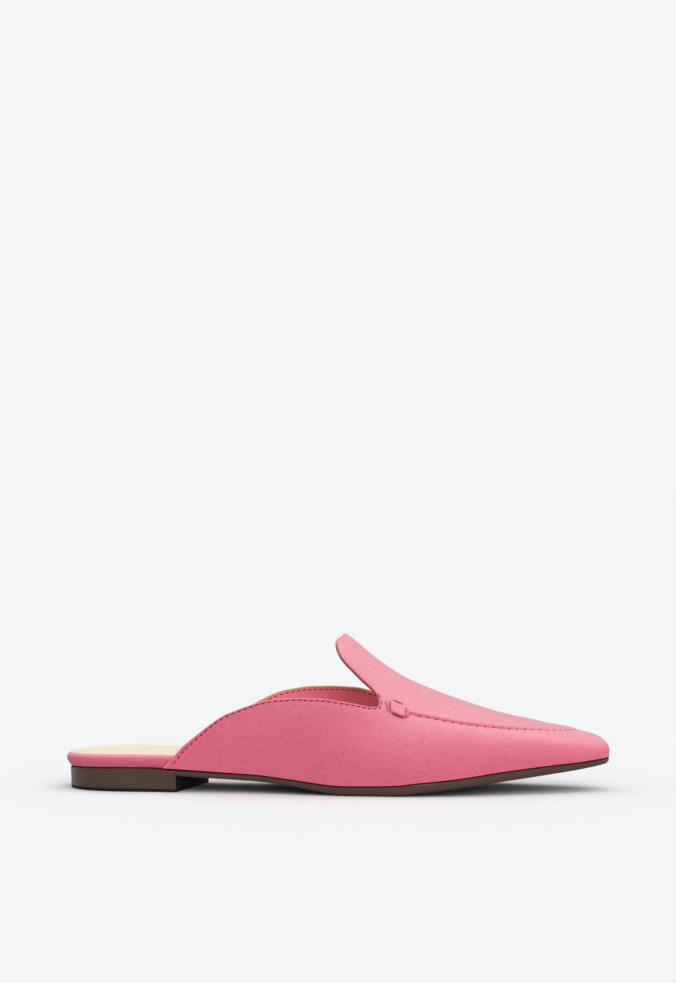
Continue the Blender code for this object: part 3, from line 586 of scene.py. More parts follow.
def cut_pattern(loop, lines, step):
    """Triangles of the flat pattern inside loop, with an edge along each of the lines."""
    low = loop.min(axis=0)
    high = loop.max(axis=0)
    rows = np.arange(low[1] + step / 2, high[1], step * math.sqrt(3) / 2)
    fill = []
    for i, g in enumerate(rows):
        across = np.arange(low[0] + step / 2 * (1 + i % 2), high[0], step)
        fill.append(np.column_stack([across, np.full(len(across), g)]))
    fill = np.vstack(fill)
    fill = fill[inside(fill, loop)]
    closed = np.vstack([loop, loop[:1]])
    fill = fill[distances(fill, closed)[0] > 0.62 * step]
    for line in lines:
        fill = fill[distances(fill, line)[0] > 0.5 * step]
    points = list(loop)
    edges = [(i, (i + 1) % len(loop)) for i in range(len(loop))]
    for line in lines:
        first = len(points)
        points.extend(line)
        edges.extend((first + i, first + i + 1) for i in range(len(line) - 1))
    points.extend(fill)
    vectors = [Vector((float(p[0]), float(p[1]))) for p in points]
    verts, _, faces, *_ = delaunay_2d_cdt(vectors, edges, [], 0, 1e-7, False)
    flat = np.array([[v.x, v.y] for v in verts])
    faces = np.array([list(f) for f in faces], int)
    return flat, faces[inside(flat[faces].mean(axis=1), loop)]


def point_normals(points, faces):
    corners = points[faces]
    normal = np.cross(corners[:, 1] - corners[:, 0], corners[:, 2] - corners[:, 0])
    total = np.zeros_like(points)
    for i in range(3):
        np.add.at(total, faces[:, i], normal)
    return unit(total)


def boundary_edges(faces):
    """Edges with one face, in that face's direction."""
    directed = np.vstack([faces[:, [0, 1]], faces[:, [1, 2]], faces[:, [2, 0]]])
    _, index, count = np.unique(np.sort(directed, axis=1), axis=0, return_inverse=True, return_counts=True)
    return directed[count[index.reshape(-1)] == 1]


# The upper's edges and skins
def tail_along():
    """Where the upper's quarters end on the feather edge."""
    return float(along_at(LENGTH * TOPLINE[0][0]))


def edge_run(table, height, index, side, step):
    """The edge that a table draws on one side, as an even run on the flat pattern."""
    stations = along_at(LENGTH * np.array([row[0] for row in table]))
    heights = height * np.array([row[index] for row in table])
    girths = girth_at_height(stations, sole_top(stations) + GAP + heights, side)
    return evenly(np.column_stack([stations * LENGTH, girths]), step)


def rising_edge(side, step):
    """Topline, notch and tongue edge of one side, from its tail to the ridge."""
    medial = int(side > 0)
    topline = edge_run(TOPLINE, COLLAR_HEIGHT, 1 + medial, side, step)
    tail = tail_along()
    topline[0] = (tail * LENGTH, half_girths(tail)[medial][0])
    edge = edge_run(TONGUE_EDGE, UPPER_HEIGHT, 1, side, step)
    topline[-1] = edge[0]
    end_along = along_at(LENGTH * TONGUE_END_SHARE) * LENGTH
    corner = edge[-1]
    s = np.linspace(0, 1, max(6, math.ceil(abs(corner[1]) / step)))[:, None]
    end = np.hstack([end_along + (corner[0] - end_along) * (1 - s) ** 2, corner[1] * (1 - s)])
    rising = join_runs(topline, edge, NOTCH_CURVE, CURVE_STEPS)
    return join_runs(rising, end, TONGUE_CURVE, CURVE_STEPS)


def whole_topline(step):
    """The upper's free edge as one run, from the lateral tail over the tongue to the medial tail."""
    return np.vstack([rising_edge(-1, step), rising_edge(1, step)[::-1][1:]])


def stitch_margin(reach, total):
    """How far the topline's stitches lie from its edge: further in at the quarters' tails."""
    ends = np.minimum(reach, total - reach)
    return STITCH_MARGIN + (TAIL_MARGIN - STITCH_MARGIN) * (1 - ease(ends, 0, TAIL_REACH))


def tongue_reach(free):
    """Distances along the topline from a tail to the notch and on to the tongue's corner."""
    half = free[: len(free) // 2]
    reach = reach_along(half)
    notch = int(np.argmax(half[:, 0]))
    corner = notch + int(np.argmin(half[notch:, 0]))
    return reach[notch], reach[corner]


def upper_outline(step, free):
    """The fine upper's outline, drawn back where its rounded edge will stand out."""
    reach = reach_along(free)
    ends = np.minimum(reach, reach[-1] - reach)
    share = ease(ends, 0, 6 * EDGE_ROLL)[:, None]
    drawn = free + share * (beside(free, EDGE_ROLL) - free)
    tail = tail_along()
    spans = np.linspace(ALONG_TIP, tail, math.ceil(LENGTH * (ALONG_TIP - tail) / step) + 1)
    near, far = (np.column_stack([spans * LENGTH, girth]) for girth in half_girths(spans))
    return np.vstack([near[:-1], drawn, far[::-1][1:-1]])


def from_feather(flat):
    lateral, medial = half_girths(flat[:, 0] / LENGTH)
    return np.minimum(flat[:, 1] - lateral, medial - flat[:, 1])


def soft_height(flat):
    """Height of the soft hollows and rises at flat points."""
    height = np.zeros(len(flat))
    for x, share, length, width, turn, rise in SOFT_FORMS:
        centre = float(along_at(LENGTH * x))
        low, high = half_girths(centre)
        girth = share * float(-low[0] if share < 0 else high[0])
        a = flat[:, 0] - centre * LENGTH
        b = flat[:, 1] - girth
        c = math.cos(math.radians(turn))
        s = math.sin(math.radians(turn))
        u = (a * c + b * s) / length
        v = (b * c - a * s) / width
        height += rise * np.exp(-u * u - v * v)
    return height * ease(from_feather(flat), 0, FORM_FADE)


def skin_height(flat, seam, free):
    """Height of the suede above the last: seam, stitched channel, rolled lip and soft forms."""
    edge, _, place = distances(flat, free)
    margin = stitch_margin(place, run_length(free))
    channel = -STITCH_SINK * np.exp(-(((edge - margin) / STITCH_THICK) ** 2))
    lip = LIP_RISE * np.exp(-(((edge - 0.4 * margin) / (0.45 * margin)) ** 2))
    return seam_height(flat, seam) + soft_height(flat) + channel + lip


def last_frame(flat):
    """Points on the last with the outward normal there."""
    ahead = last_point(flat + [FRAME_STEP, 0]) - last_point(flat - [FRAME_STEP, 0])
    across = last_point(flat + [0, FRAME_STEP]) - last_point(flat - [0, FRAME_STEP])
    return last_point(flat), unit(np.cross(ahead, across))


def placed(name, data):
    """A new object in the scene."""
    made = bpy.data.objects.new(name, data)
    bpy.context.scene.collection.objects.link(made)
    return made


def mesh_object(name, points, faces, finishes, indices=None, layers=None):
    """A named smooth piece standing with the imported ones, faces turned out, with its finishes."""
    points = np.asarray(points, float) + STAND
    mesh = bpy.data.meshes.new(name)
    mesh.from_pydata(points.tolist(), [], [tuple(map(int, f)) for f in faces])
    for finish in finishes:
        mesh.materials.append(finish)
    if indices is not None:
        mesh.polygons.foreach_set("material_index", np.array(indices, np.int32))
    for layer, values in (layers or {}).items():
        mesh.attributes.new(layer, "FLOAT", "POINT").data.foreach_set("value", values.astype(np.float32))
    shape = bmesh.new()
    shape.from_mesh(mesh)
    bmesh.ops.remove_doubles(shape, verts=shape.verts, dist=WELD)
    bmesh.ops.dissolve_degenerate(shape, edges=shape.edges, dist=WELD / 2)
    bmesh.ops.recalc_face_normals(shape, faces=shape.faces)
    shape.to_mesh(mesh)
    shape.free()
    mesh.shade_smooth()
    mesh.set_sharp_from_angle(angle=math.radians(50))
    return placed(name, mesh)


def tube_faces(rings, count, base=0):
    """Faces round a tube of this many rings, its first point numbered base."""
    turn = [(j, (j + 1) % count) for j in range(count)]
    rows = range(base, base + (rings - 1) * count, count)
    return [(row + j, row + k, row + count + k, row + count + j) for row in rows for j, k in turn]


def rounded_shell(faces, outer, inner, roll):
    """Points, faces and finish numbers of a closed shell whose edge is rounded out by roll at each point."""
    count = len(outer)
    edges = boundary_edges(faces)
    ahead = np.zeros_like(outer)
    for end in (0, 1):
        np.add.at(ahead, edges[:, end], outer[edges[:, 1]] - outer[edges[:, 0]])
    rim = np.unique(edges)
    across = outer[rim] - inner[rim]
    out = np.cross(ahead[rim], across)
    out = out / np.maximum(np.linalg.norm(out, axis=1, keepdims=True), 1e-12)
    middle = (outer[rim] + inner[rim]) / 2
    points = [outer, inner]
    place = np.full((EDGE_TURNS + 2, count), -1)
    place[0] = np.arange(count)
    place[-1] = np.arange(count) + count
    for k in range(EDGE_TURNS):
        turn = math.pi * (k + 1) / (EDGE_TURNS + 1)
        points.append(middle + across / 2 * math.cos(turn) + out * math.sin(turn) * roll[rim][:, None])
        place[k + 1, rim] = 2 * count + k * len(rim) + np.arange(len(rim))
    solid = [tuple(f) for f in faces] + [tuple(f[::-1] + count) for f in faces]
    finish = [0] * len(faces) + [1] * len(faces)
    for k in range(EDGE_TURNS + 1):
        for a, b in edges:
            solid.append((place[k, b], place[k, a], place[k + 1, a], place[k + 1, b]))
            finish.append(0 if k < EDGE_TURNS - 1 else 1)
    return np.vstack(points), solid, finish


def make_upper_shell(seam, free, suede, lining):
    """The suede upper with its lining: one closed shell with a rounded topline."""
    loop = upper_outline(FINE_STEP, free)
    lines = [beside(seam, share * SEAM_WIDTH) for share in SEAM_LINES]
    inner_run = free[6:-6]
    margin = stitch_margin(reach_along(free), run_length(free))[6:-6]
    for share in MARGIN_LINES:
        line = beside(inner_run, share * margin[:, None])
        apart = distances(line, free)[0] > 0.97 * share * margin
        for piece in np.split(line, np.nonzero(~apart)[0]):
            if len(piece) > 3:
                lines.append(piece[1:])
    flat, faces = cut_pattern(loop, lines, FINE_STEP)
    on_last = last_point(flat)
    normal = point_normals(on_last, faces)
    outer = on_last + normal * skin_height(flat, seam, free)[:, None]
    feather = from_feather(flat)
    into = normal.copy()
    into[feather < 1e-5, 2] = 0
    inner = on_last - unit(into) * WALL
    roll = EDGE_ROLL * ease(feather, 0, 4 * EDGE_ROLL)
    points, solid, finish = rounded_shell(faces, outer, inner, roll)
    edge, _, place = distances(flat, free)
    round_edge = np.zeros(len(points) - 2 * len(flat))
    # painted shade on the tongue's cut edge, from the notch to its corner, in the wall_shade layer
    notch, corner = tongue_reach(free)
    ends = np.minimum(place, run_length(free) - place)
    on_tongue = ease(ends, notch, notch + TONGUE_FADE) * (1 - ease(ends, corner - TONGUE_FADE, corner))
    rim = np.unique(boundary_edges(faces))
    # painted highlight on the seam's ridge, from its groove over its top
    apart, side, along = distances(flat, seam)
    q = apart * side
    fade = ease(np.minimum(along, run_length(seam) - along), 0, SEAM_WIDTH)
    on_ridge = ease(q, 0, 0.2 * SEAM_WIDTH) * (1 - ease(q, 0.5 * SEAM_WIDTH, SEAM_WIDTH)) * fade
    layers = {
        "from_edge": np.concatenate([edge, edge, round_edge]),
        "wall_shade": np.concatenate([np.zeros(2 * len(flat)), np.tile(on_tongue[rim], EDGE_TURNS)]),
        "ridge_painted_highlight": np.concatenate([on_ridge, on_ridge, round_edge]),
    }
    return mesh_object("upper_shell", points, solid, [suede, lining], finish, layers)


# Stitches, slits and rolls laid on the upper
def laid_rolls(name, middles, directions, length, thick, lift, height, finish, flatten=0.8, bend=0.0):
    """Small rounded rolls laid on the upper at flat points, each along its own direction, ends tucked in."""
    s = np.linspace(-1, 1, ROLL_STEPS)
    count = len(middles)
    length = np.broadcast_to(length, count)
    thick = np.broadcast_to(thick, count)
    bowed = np.broadcast_to(bend, count)[:, None] * (1 - s**2)
    aside = np.column_stack([-directions[:, 1], directions[:, 0]])
    flat = middles[:, None, :] + directions[:, None, :] * (length[:, None] / 2 * s)[:, :, None]
    flat = flat + aside[:, None, :] * bowed[:, :, None]
    here, normal = last_frame(flat.reshape(-1, 2))
    lift = np.broadcast_to(lift, count)[:, None]
    rise = height(flat.reshape(-1, 2)) + (lift * thick[:, None] * (1 - 1.6 * s**4)).reshape(-1)
    centre = (here + normal * rise[:, None]).reshape(count, ROLL_STEPS, 3)
    normal = normal.reshape(count, ROLL_STEPS, 3)
    ahead = np.gradient(centre, axis=1)
    beside_it = unit(np.cross(ahead, normal))
    radius = (thick[:, None] / 2 * np.sqrt(1 - 0.9 * s**2))[:, :, None, None]
    turn = np.linspace(0, 2 * math.pi, ROLL_SIDES, endpoint=False)
    ring = (
        centre[:, :, None, :]
        + radius * np.cos(turn)[None, None, :, None] * beside_it[:, :, None, :]
        + radius * flatten * np.sin(turn)[None, None, :, None] * normal[:, :, None, :]
    )
    faces = []
    for base in range(0, count * ROLL_STEPS * ROLL_SIDES, ROLL_STEPS * ROLL_SIDES):
        last = base + (ROLL_STEPS - 1) * ROLL_SIDES
        faces += tube_faces(ROLL_STEPS, ROLL_SIDES, base)
        faces += [tuple(range(base, base + ROLL_SIDES))[::-1], tuple(range(last, last + ROLL_SIDES))]
    return mesh_object(name, ring.reshape(-1, 3), faces, [finish])


def along_run(run, places):
    """Points of a run at these distances along it, with the direction there."""
    reach = reach_along(run)
    ahead = np.gradient(run, axis=0)
    point = np.column_stack([np.interp(places, reach, run[:, i]) for i in (0, 1)])
    course = np.column_stack([np.interp(places, reach, ahead[:, i]) for i in (0, 1)])
    return point, unit(course)


def slanted(course, degrees):
    c = math.cos(math.radians(degrees))
    s = math.sin(math.radians(degrees))
    return np.column_stack([course[:, 0] * c - course[:, 1] * s, course[:, 0] * s + course[:, 1] * c])


def edge_places(free, low, high, pitch):
    """Points of both sides' stitch rows between these distances from the tails, with the course there."""
    total = run_length(free)
    row = beside(free, stitch_margin(reach_along(free), total)[:, None])
    near = np.arange(low, high, pitch)
    share = run_length(row) / total
    point, course = along_run(row, share * np.concatenate([near, total - near[::-1]]))
    margin = stitch_margin(np.concatenate([near, near[::-1]]), total)
    clear = distances(point, free)[0] > 0.9 * margin
    return point[clear], course[clear]


def make_topline_stitches(free, skin, thread):
    notch = tongue_reach(free)[0]
    point, course = edge_places(free, 2.0 * STITCH_PITCH, notch + 1.5 * STITCH_PITCH, STITCH_PITCH)
    return laid_rolls(
        "topline_stitches", point, slanted(course, 10), STITCH_LENGTH, STITCH_THICK, 0.10, skin, thread,
    )


def make_tongue_stitches(free, skin, thread):
    notch, corner = tongue_reach(free)
    point, course = edge_places(free, notch + 2.8 * STITCH_PITCH, corner - STITCH_PITCH, TONGUE_STITCH_PITCH)
    return laid_rolls(
        "tongue_stitches", point, course, TONGUE_STITCH_LENGTH, TONGUE_STITCH_THICK, -0.05, skin, thread,
    )


def make_lining_stitches(free, thread):
    row = beside(free, LINING_EDGE + 0.9 * STITCH_THICK)
    total = run_length(row)
    notch = tongue_reach(free)[0]
    near = np.arange(2.4 * STITCH_PITCH, notch, STITCH_PITCH)
    point, course = along_run(row, np.concatenate([near, total - near[::-1]]))
    clear = distances(point, free)[0] > 0.9 * LINING_EDGE
    return laid_rolls(
        "lining_stitches", point[clear], course[clear], STITCH_LENGTH, 0.8 * STITCH_THICK, -0.15,
        lambda flat: np.full(len(flat), -WALL), thread,
    )


def make_apron_stitches(seam, skin, thread):
    total = run_length(seam)
    start = 2.0 * KEEPER_LEAD
    places = np.arange(start, total - start, SEAM_STITCH_PITCH)
    point, course = along_run(seam, places)
    return laid_rolls(
        "apron_stitches", point, slanted(course, 24), SEAM_STITCH_LENGTH, STITCH_THICK, 0.10, skin, thread,
    )


def keeper_place(seam, side):
    """Middle of a keeper on the flat pattern with the directions along and across the seam there."""
    place = KEEPER_LEAD if side > 0 else run_length(seam) - KEEPER_LEAD
    point, course = along_run(seam, np.array([place]))
    ahead = course[0]
    return point[0], ahead, np.array([ahead[1], -ahead[0]])


def make_keeper(name, side, seam, suede):
    """A small suede band over the start of the apron seam, its two ends tucked into slits."""
    middle, ahead, across = keeper_place(seam, side)
    share = np.linspace(-0.5, 0.5, KEEPER_CELLS + 1)
    a, c = np.meshgrid(share, share, indexing="ij")
    flat = middle + KEEPER_SIZE * a[..., None] * ahead + (KEEPER_SIZE * c[..., None] + KEEPER_RISE) * across
    flat = flat.reshape(-1, 2)
    grid = np.arange(flat.shape[0]).reshape(a.shape)
    quads = np.stack([grid[:-1, :-1], grid[1:, :-1], grid[1:, 1:], grid[:-1, 1:]], axis=-1).reshape(-1, 4)
    faces = np.vstack([quads[:, :3], quads[:, [0, 2, 3]]])
    here, normal = last_frame(flat)
    corner = point_normals(here, faces)
    if (corner * normal).sum(axis=1).mean() < 0:
        faces = faces[:, ::-1]
    a = 2 * a.reshape(-1)
    c = 2 * c.reshape(-1)
    under = seam_height(flat, seam)
    arch = np.maximum(under, (1 - KEEPER_PRESS) * SEAM_RIDGE * (1 - c**4))
    tucked = 1 - 0.97 * ease(np.abs(c), 0.84, 1.0)
    soft = 1 - 0.40 * np.abs(a) ** 8
    hollow = -0.30 * KEEPER_THICKNESS * (1 - a**2) * (1 - c**2)
    inner = here + normal * ((arch + GAP * 0.5) * tucked - KEEPER_SINK)[:, None]
    outer = here + normal * ((arch + GAP + KEEPER_THICKNESS * soft) * tucked + hollow)[:, None]
    points, solid, _ = rounded_shell(faces, outer, inner, np.full(len(flat), KEEPER_EDGE))
    return mesh_object(name, points, solid, [suede])


def laid_rows(name, rows, height, finish, flatten=0.8):
    """Rolls from rows of middle, direction, length, thickness, lift and bend."""
    columns = (np.array(part) for part in zip(*rows))
    middles, directions, lengths, thicks, lifts, bends = columns
    return laid_rolls(name, middles, directions, lengths, thicks, lifts, height, finish, flatten, bends)


def make_keeper_slit_shades(seam, skin, thread):
    """Dark rolls of painted shade: one in each slit that takes a keeper's end, and one in each crease beside
    their rolls.
    """
    rows = []
    for side in (-1, 1):
        middle, ahead, across = keeper_place(seam, side)
        centre = middle + across * KEEPER_RISE
        for end, lift in ((-0.5, 0.8), (0.5, 1.4)):
            slit = centre + across * end * 1.05 * KEEPER_SIZE
            crease = centre + ahead * end * 1.06 * KEEPER_SIZE - across * 0.22 * KEEPER_SIZE
            # painted shade: a dark roll in the slit, and a thinner one in the crease beside the keeper's roll
            rows.append((slit, ahead, KEEPER_SIZE, 1.15 * SLIT_SHADE_THICK, lift, 0))
            rows.append((crease, across, 0.45 * KEEPER_SIZE, 0.6 * SLIT_SHADE_THICK, 1.2, 0))
    return laid_rows("keeper_slit_shades", rows, skin, thread, 0.6)


def make_keeper_rolls(seam, suede):
    """The seam's roll swelling out on both sides of each keeper."""
    rows = []
    for side in (-1, 1):
        middle, ahead, across = keeper_place(seam, side)
        for end in (-0.5, 0.5):
            thick = KEEPER_ROLL * (1.10 if end * side > 0 else 0.90)
            place = middle + ahead * end * 1.14 * KEEPER_SIZE + across * 1.4 * KEEPER_RISE
            rows.append((place, across, 0.98 * KEEPER_SIZE, thick, 0.30, KEEPER_BEND * np.sign(end)))
    return laid_rows("keeper_rolls", rows, partial(seam_height, seam=seam), suede)


# Sole pieces
def fine_spans(first, last):
    """Stations of a fine sole piece, closer where the outline turns."""
    s = np.linspace(0, 1, SOLE_STATIONS)
    even = first + (last - first) * s
    if first < HEEL_CURVE:
        even = np.concatenate([even, first + (HEEL_CURVE - first) * s[::4] ** 2])
    if last > TOE_CURVE:
        even = np.concatenate([even, last - (last - TOE_CURVE) * s[::4] ** 2])
    even = np.unique(even.round(6))
    between = even[(even > first + STATION_ROOM) & (even < last - STATION_ROOM)]
    apart = np.concatenate([[True], np.diff(between) > STATION_ROOM])
    return np.concatenate([[first], between[apart], [last]])


def rounded_side(steps):
    """A side's (inset, height) steps as a finer curve."""
    steps = np.array(steps, float)
    reach = reach_along(steps)
    table = np.column_stack([reach, steps])
    fine = np.concatenate([np.linspace(0, reach[-2], ROUND_STEPS - 2), [reach[-2:].mean(), reach[-1]]])
    return np.column_stack([column(table, 1, fine), column(table, 2, fine)])


def fine_slab(name, spans, side_steps, finishes, closed_ends, slant=None, dish=0.0, low=0, high=0):
    """A sole piece lofted from fine sections; side_steps gives (inset, height) pairs from bottom to top.

    The lowest faces up its side take the second finish, the highest ones and its top the third: painted
    contact shadow at a heel's foot and painted shade of the gap under the upper.
    """
    rings = []
    s = np.linspace(0, 1, ACROSS + 2)[1:-1, None]
    for along in spans:
        side = rounded_side(side_steps(along))
        halves = []
        for way in (-1, 1):
            edge = edge_point(along, way)
            inward = edge_inward(along, way)
            halves.append(np.column_stack([edge + side[:, :1] * inward, side[:, 1]]))
        lateral, medial = halves
        top = lateral[-1] + s * (medial[-1] - lateral[-1])
        top[:, 2] += dish * np.sin(math.pi * s[:, 0]) ** 0.5
        bottom = medial[0] + s * (lateral[0] - medial[0])
        ring = np.vstack([lateral, top, medial[::-1], bottom])
        if slant is not None:
            lean, square = slant(along)
            ring[:, 0] += square * (plan_x(along) - ring[:, 0]) + lean * ring[:, 1]
        rings.append(ring)
    count = len(rings[0])
    finish_band = [0] * count
    for j in range(count):
        up = min(j, 2 * ROUND_STEPS + ACROSS - 2 - j)
        if low and up < low:
            finish_band[j] = 1
        if high and up >= ROUND_STEPS - 1 - high:
            finish_band[j] = 2
    faces = tube_faces(len(rings), count)
    numbers = finish_band * (len(rings) - 1)
    if closed_ends[0]:
        faces.append(tuple(range(count))[::-1])
        numbers.append(0)
    if closed_ends[1]:
        faces.append(tuple(range((len(rings) - 1) * count, len(rings) * count)))
        # a fourth finish, the heel's painted breast shade, goes on its closed front end
        numbers.append(len(finishes) - 1 if len(finishes) > 3 else 0)
    return mesh_object(name, np.vstack(rings), faces, finishes, numbers)


def make_outsole(finish, foot_shadow, gap_shade):
    breast = float(along_at(BREAST + GAP))

    def side(along):
        top = sole_top(along)
        bottom = sole_bottom(along)
        body = top - bottom
        edge = OUTSOLE_ROUND * min(1.0, (ALONG_TIP - along) / PASSING_SHARE + 0.35)
        return (
            (edge, bottom),
            (0.33 * edge, bottom + 0.13 * body),
            (0.12 * edge, bottom + 0.36 * body),
            (0.07 * edge, top - SOLE_CHAMFER),
            (0.07 * edge + 1.6 * SOLE_CHAMFER, top),
        )

    def slant(along):
        near_breast = 1 - ease(along, breast, breast + 3 * PASSING_SHARE)
        return BREAST_SLANT * near_breast, near_breast

    finishes = [finish, foot_shadow, gap_shade]
    spans = fine_spans(breast, ALONG_TIP)
    # the top edge's faces take the dark red painted shade of the gap under the upper
    return fine_slab("sole_edge_and_tread", spans, side, finishes, (True, False), slant, high=2)


def make_heel(finish, foot_shadow, gap_shade, breast_shade):
    breast = float(along_at(BREAST))

    def side(along):
        top = sole_top(along)
        inset = HEEL_INSET * (1 - 0.67 * ease(along, breast * 0.7, breast))
        return (
            (inset + 0.7 * HEEL_ROUND, 0.0),
            (inset + 0.3 * HEEL_ROUND, 0.4 * HEEL_ROUND),
            (inset + 0.2 * HEEL_ROUND, top * 0.5),
            (inset, top - SOLE_CHAMFER),
            (inset + 1.2 * SOLE_CHAMFER, top),
        )

    def slant(along):
        near_breast = ease(along, breast * 0.45, breast)
        return BREAST_SLANT * near_breast, near_breast

    finishes = [finish, foot_shadow, gap_shade, breast_shade]
    spans = fine_spans(0, breast)
    # the heel's foot takes a painted contact shadow, its top edge painted gap shade and its breast painted
    # shade
    return fine_slab("heel_block", spans, side, finishes, (False, True), slant, low=2, high=2)


def footbed_inset(along):
    """How far the footbed's side lies inside the plan: flush at the heel rim, inside the wall further on."""
    end = tail_along()
    inside_wall = (WALL + GAP) * ease(along, end - PASSING_SHARE, end - GAP / LENGTH)
    return inside_wall + TOE_ROOM * ease(along, TOE_CURVE, ALONG_TIP)


def footbed_height(along):
    end = tail_along()
    return RIM_HEIGHT + (BOARD_HEIGHT - RIM_HEIGHT) * ease(along, end + PASSING_SHARE / 2, end + RIM_FRONT)


def footbed_draw(along):
    """How far the footbed's top edge draws in under the vamp, and more at the tip of the toe."""
    return TOE_DRAW * (ease(along, 0.62, 1.0) + ease(along, TOE_CURVE, ALONG_TIP))


def make_wrapped_footbed(suede):
    end = tail_along()

    def side(along):
        inset = footbed_inset(along)
        height = footbed_height(along)
        low = sole_top(along) + GAP
        taper = RIM_TAPER * (1 - 0.85 * ease(along, end - PASSING_SHARE, end + PASSING_SHARE / 2))
        draw = footbed_draw(along)
        return (
            (inset + taper, low),
            (inset + 0.36 * taper, low + 0.30 * height),
            (inset + 0.50 * draw, low + 0.62 * height),
            (inset + 0.30 * RIM_ROUND + 0.75 * draw, low + 0.88 * height),
            (inset + RIM_ROUND + draw, low + height),
            (inset + SOCK_MARGIN - 0.5 * SOCK_ROOM + draw, low + height - SOCK_RECESS),
        )

    return fine_slab("wrapped_footbed", fine_spans(0, ALONG_TIP), side, [suede], (False, False))


def make_sock(finish):
    def side(along):
        inset = footbed_inset(along) + SOCK_MARGIN - 0.5 * SOCK_ROOM + footbed_draw(along)
        low = sole_top(along) + GAP + footbed_height(along) - SOCK_RECESS
        top = low + GAP + SOCK_THICKNESS
        return (
            (inset, low + 0.3 * GAP),
            (inset, low + 0.5 * (top - low)),
            (inset + 0.3 * SOCK_THICKNESS, top - 0.2 * SOCK_THICKNESS),
            (inset + 1.2 * SOCK_THICKNESS, top),
        )

    spans = fine_spans(0, SOCK_END_SHARE)
    return fine_slab("insole_leather", spans, side, [finish], (False, True), dish=SOCK_DISH)


# Finishes
def effect(name, inputs):
    """An empty shader group with these inputs, with its two end nodes."""
    tree = bpy.data.node_groups.new(name, "ShaderNodeTree")
    for label, value in inputs.items():
        kind = "NodeSocketColor" if isinstance(value, tuple) else "NodeSocketFloat"
        tree.interface.new_socket(name=label, in_out="INPUT", socket_type=kind).default_value = value
    tree.interface.new_socket(name="Colour", in_out="OUTPUT", socket_type="NodeSocketColor")
    for label in ("Height", "Roughness"):
        tree.interface.new_socket(name=label, in_out="OUTPUT", socket_type="NodeSocketFloat")
    return tree, tree.nodes.new("NodeGroupInput").outputs, tree.nodes.new("NodeGroupOutput").inputs


def add(tree, kind):
    return tree.nodes.new("ShaderNode" + kind)


def feed(source, target):
    """A link or a plain value into a socket."""
    if isinstance(source, bpy.types.NodeSocket):
        target.id_data.links.new(source, target)
    else:
        target.default_value = source


def give(node, **values):
    """Plain values into a node's sockets, their names written with _ for a space."""
    for label, value in values.items():
        node.inputs[label.replace("_", " ")].default_value = value


def calc(operation, a, b):
    """A sum of two values, at least one of them a socket."""
    node = add((a if isinstance(a, bpy.types.NodeSocket) else b).id_data, "Math")
    node.operation = operation
    feed(a, node.inputs[0])
    feed(b, node.inputs[1])
    return node.outputs[0]


plus = partial(calc, "ADD")
minus = partial(calc, "SUBTRACT")
times = partial(calc, "MULTIPLY")
over = partial(calc, "DIVIDE")


def scaled(vector, by):
    node = add(vector.id_data, "VectorMath")
    node.operation = "MULTIPLY" if isinstance(by, tuple) else "SCALE"
    feed(vector, node.inputs[0])
    feed(by, node.inputs[1] if isinstance(by, tuple) else node.inputs["Scale"])
    return node.outputs[0]


def noise(place, size, detail, rough=0.5, twist=0.0):
    """Noise from 0 to 1 whose patches are about size metres across."""
    node = add(place.id_data, "TexNoise")
    feed(place, node.inputs["Vector"])
    feed(over(0.5, size) if isinstance(size, bpy.types.NodeSocket) else 0.5 / size, node.inputs["Scale"])
    give(node, Detail=detail, Roughness=rough, Distortion=twist)
    return node.outputs["Fac"]


def object_place(tree):
    return add(tree, "TexCoord").outputs["Object"]


def painted(tree, layer):
    """The value of a layer that a piece carries at its points."""
    node = add(tree, "Attribute")
    node.attribute_name = layer
    return node.outputs["Fac"]


def ramp(value, stops):
    node = add(value.id_data, "ValToRGB")
    feed(value, node.inputs[0])
    elements = node.color_ramp.elements
    elements.remove(elements[1])
    elements[0].position = stops[0][0]
    elements[0].color = (*stops[0][1], 1)
    for at, colour in stops[1:]:
        elements.new(at).color = (*colour, 1)
    return node.outputs[0]


def brushed_nap():
    """Suede nap: broad brushed patches, clumps and short fibres."""
    tree, given, out = effect("brushed_nap", {
        "Colour": (0.6, 0.15, 0.2, 1),
        "Patch Size": 0.02,
        "Patch Depth": 0.1,
        "Fibre Size": 0.0008,
        "Fibre Depth": 0.2,
    })
    place = object_place(tree)
    patch = noise(place, given["Patch Size"], 3, 0.55, 0.4)
    brushed = noise(scaled(place, (0.85, 1.0, 1.15)), given["Fibre Size"], 3, 0.62, 0.5)
    clump = noise(place, times(given["Fibre Size"], 2.6), 2, 0.5, 0.3)
    broad = times(minus(patch, 0.5), given["Patch Depth"])
    fine = times(minus(brushed, 0.5), given["Fibre Depth"])
    middle = times(minus(clump, 0.5), times(given["Fibre Depth"], 0.25))
    shade = plus(plus(broad, fine), plus(middle, 1.0))
    feed(scaled(given["Colour"], shade), out["Colour"])
    feed(plus(brushed, times(clump, 1.2)), out["Height"])
    feed(plus(0.86, times(brushed, 0.14)), out["Roughness"])
    return tree


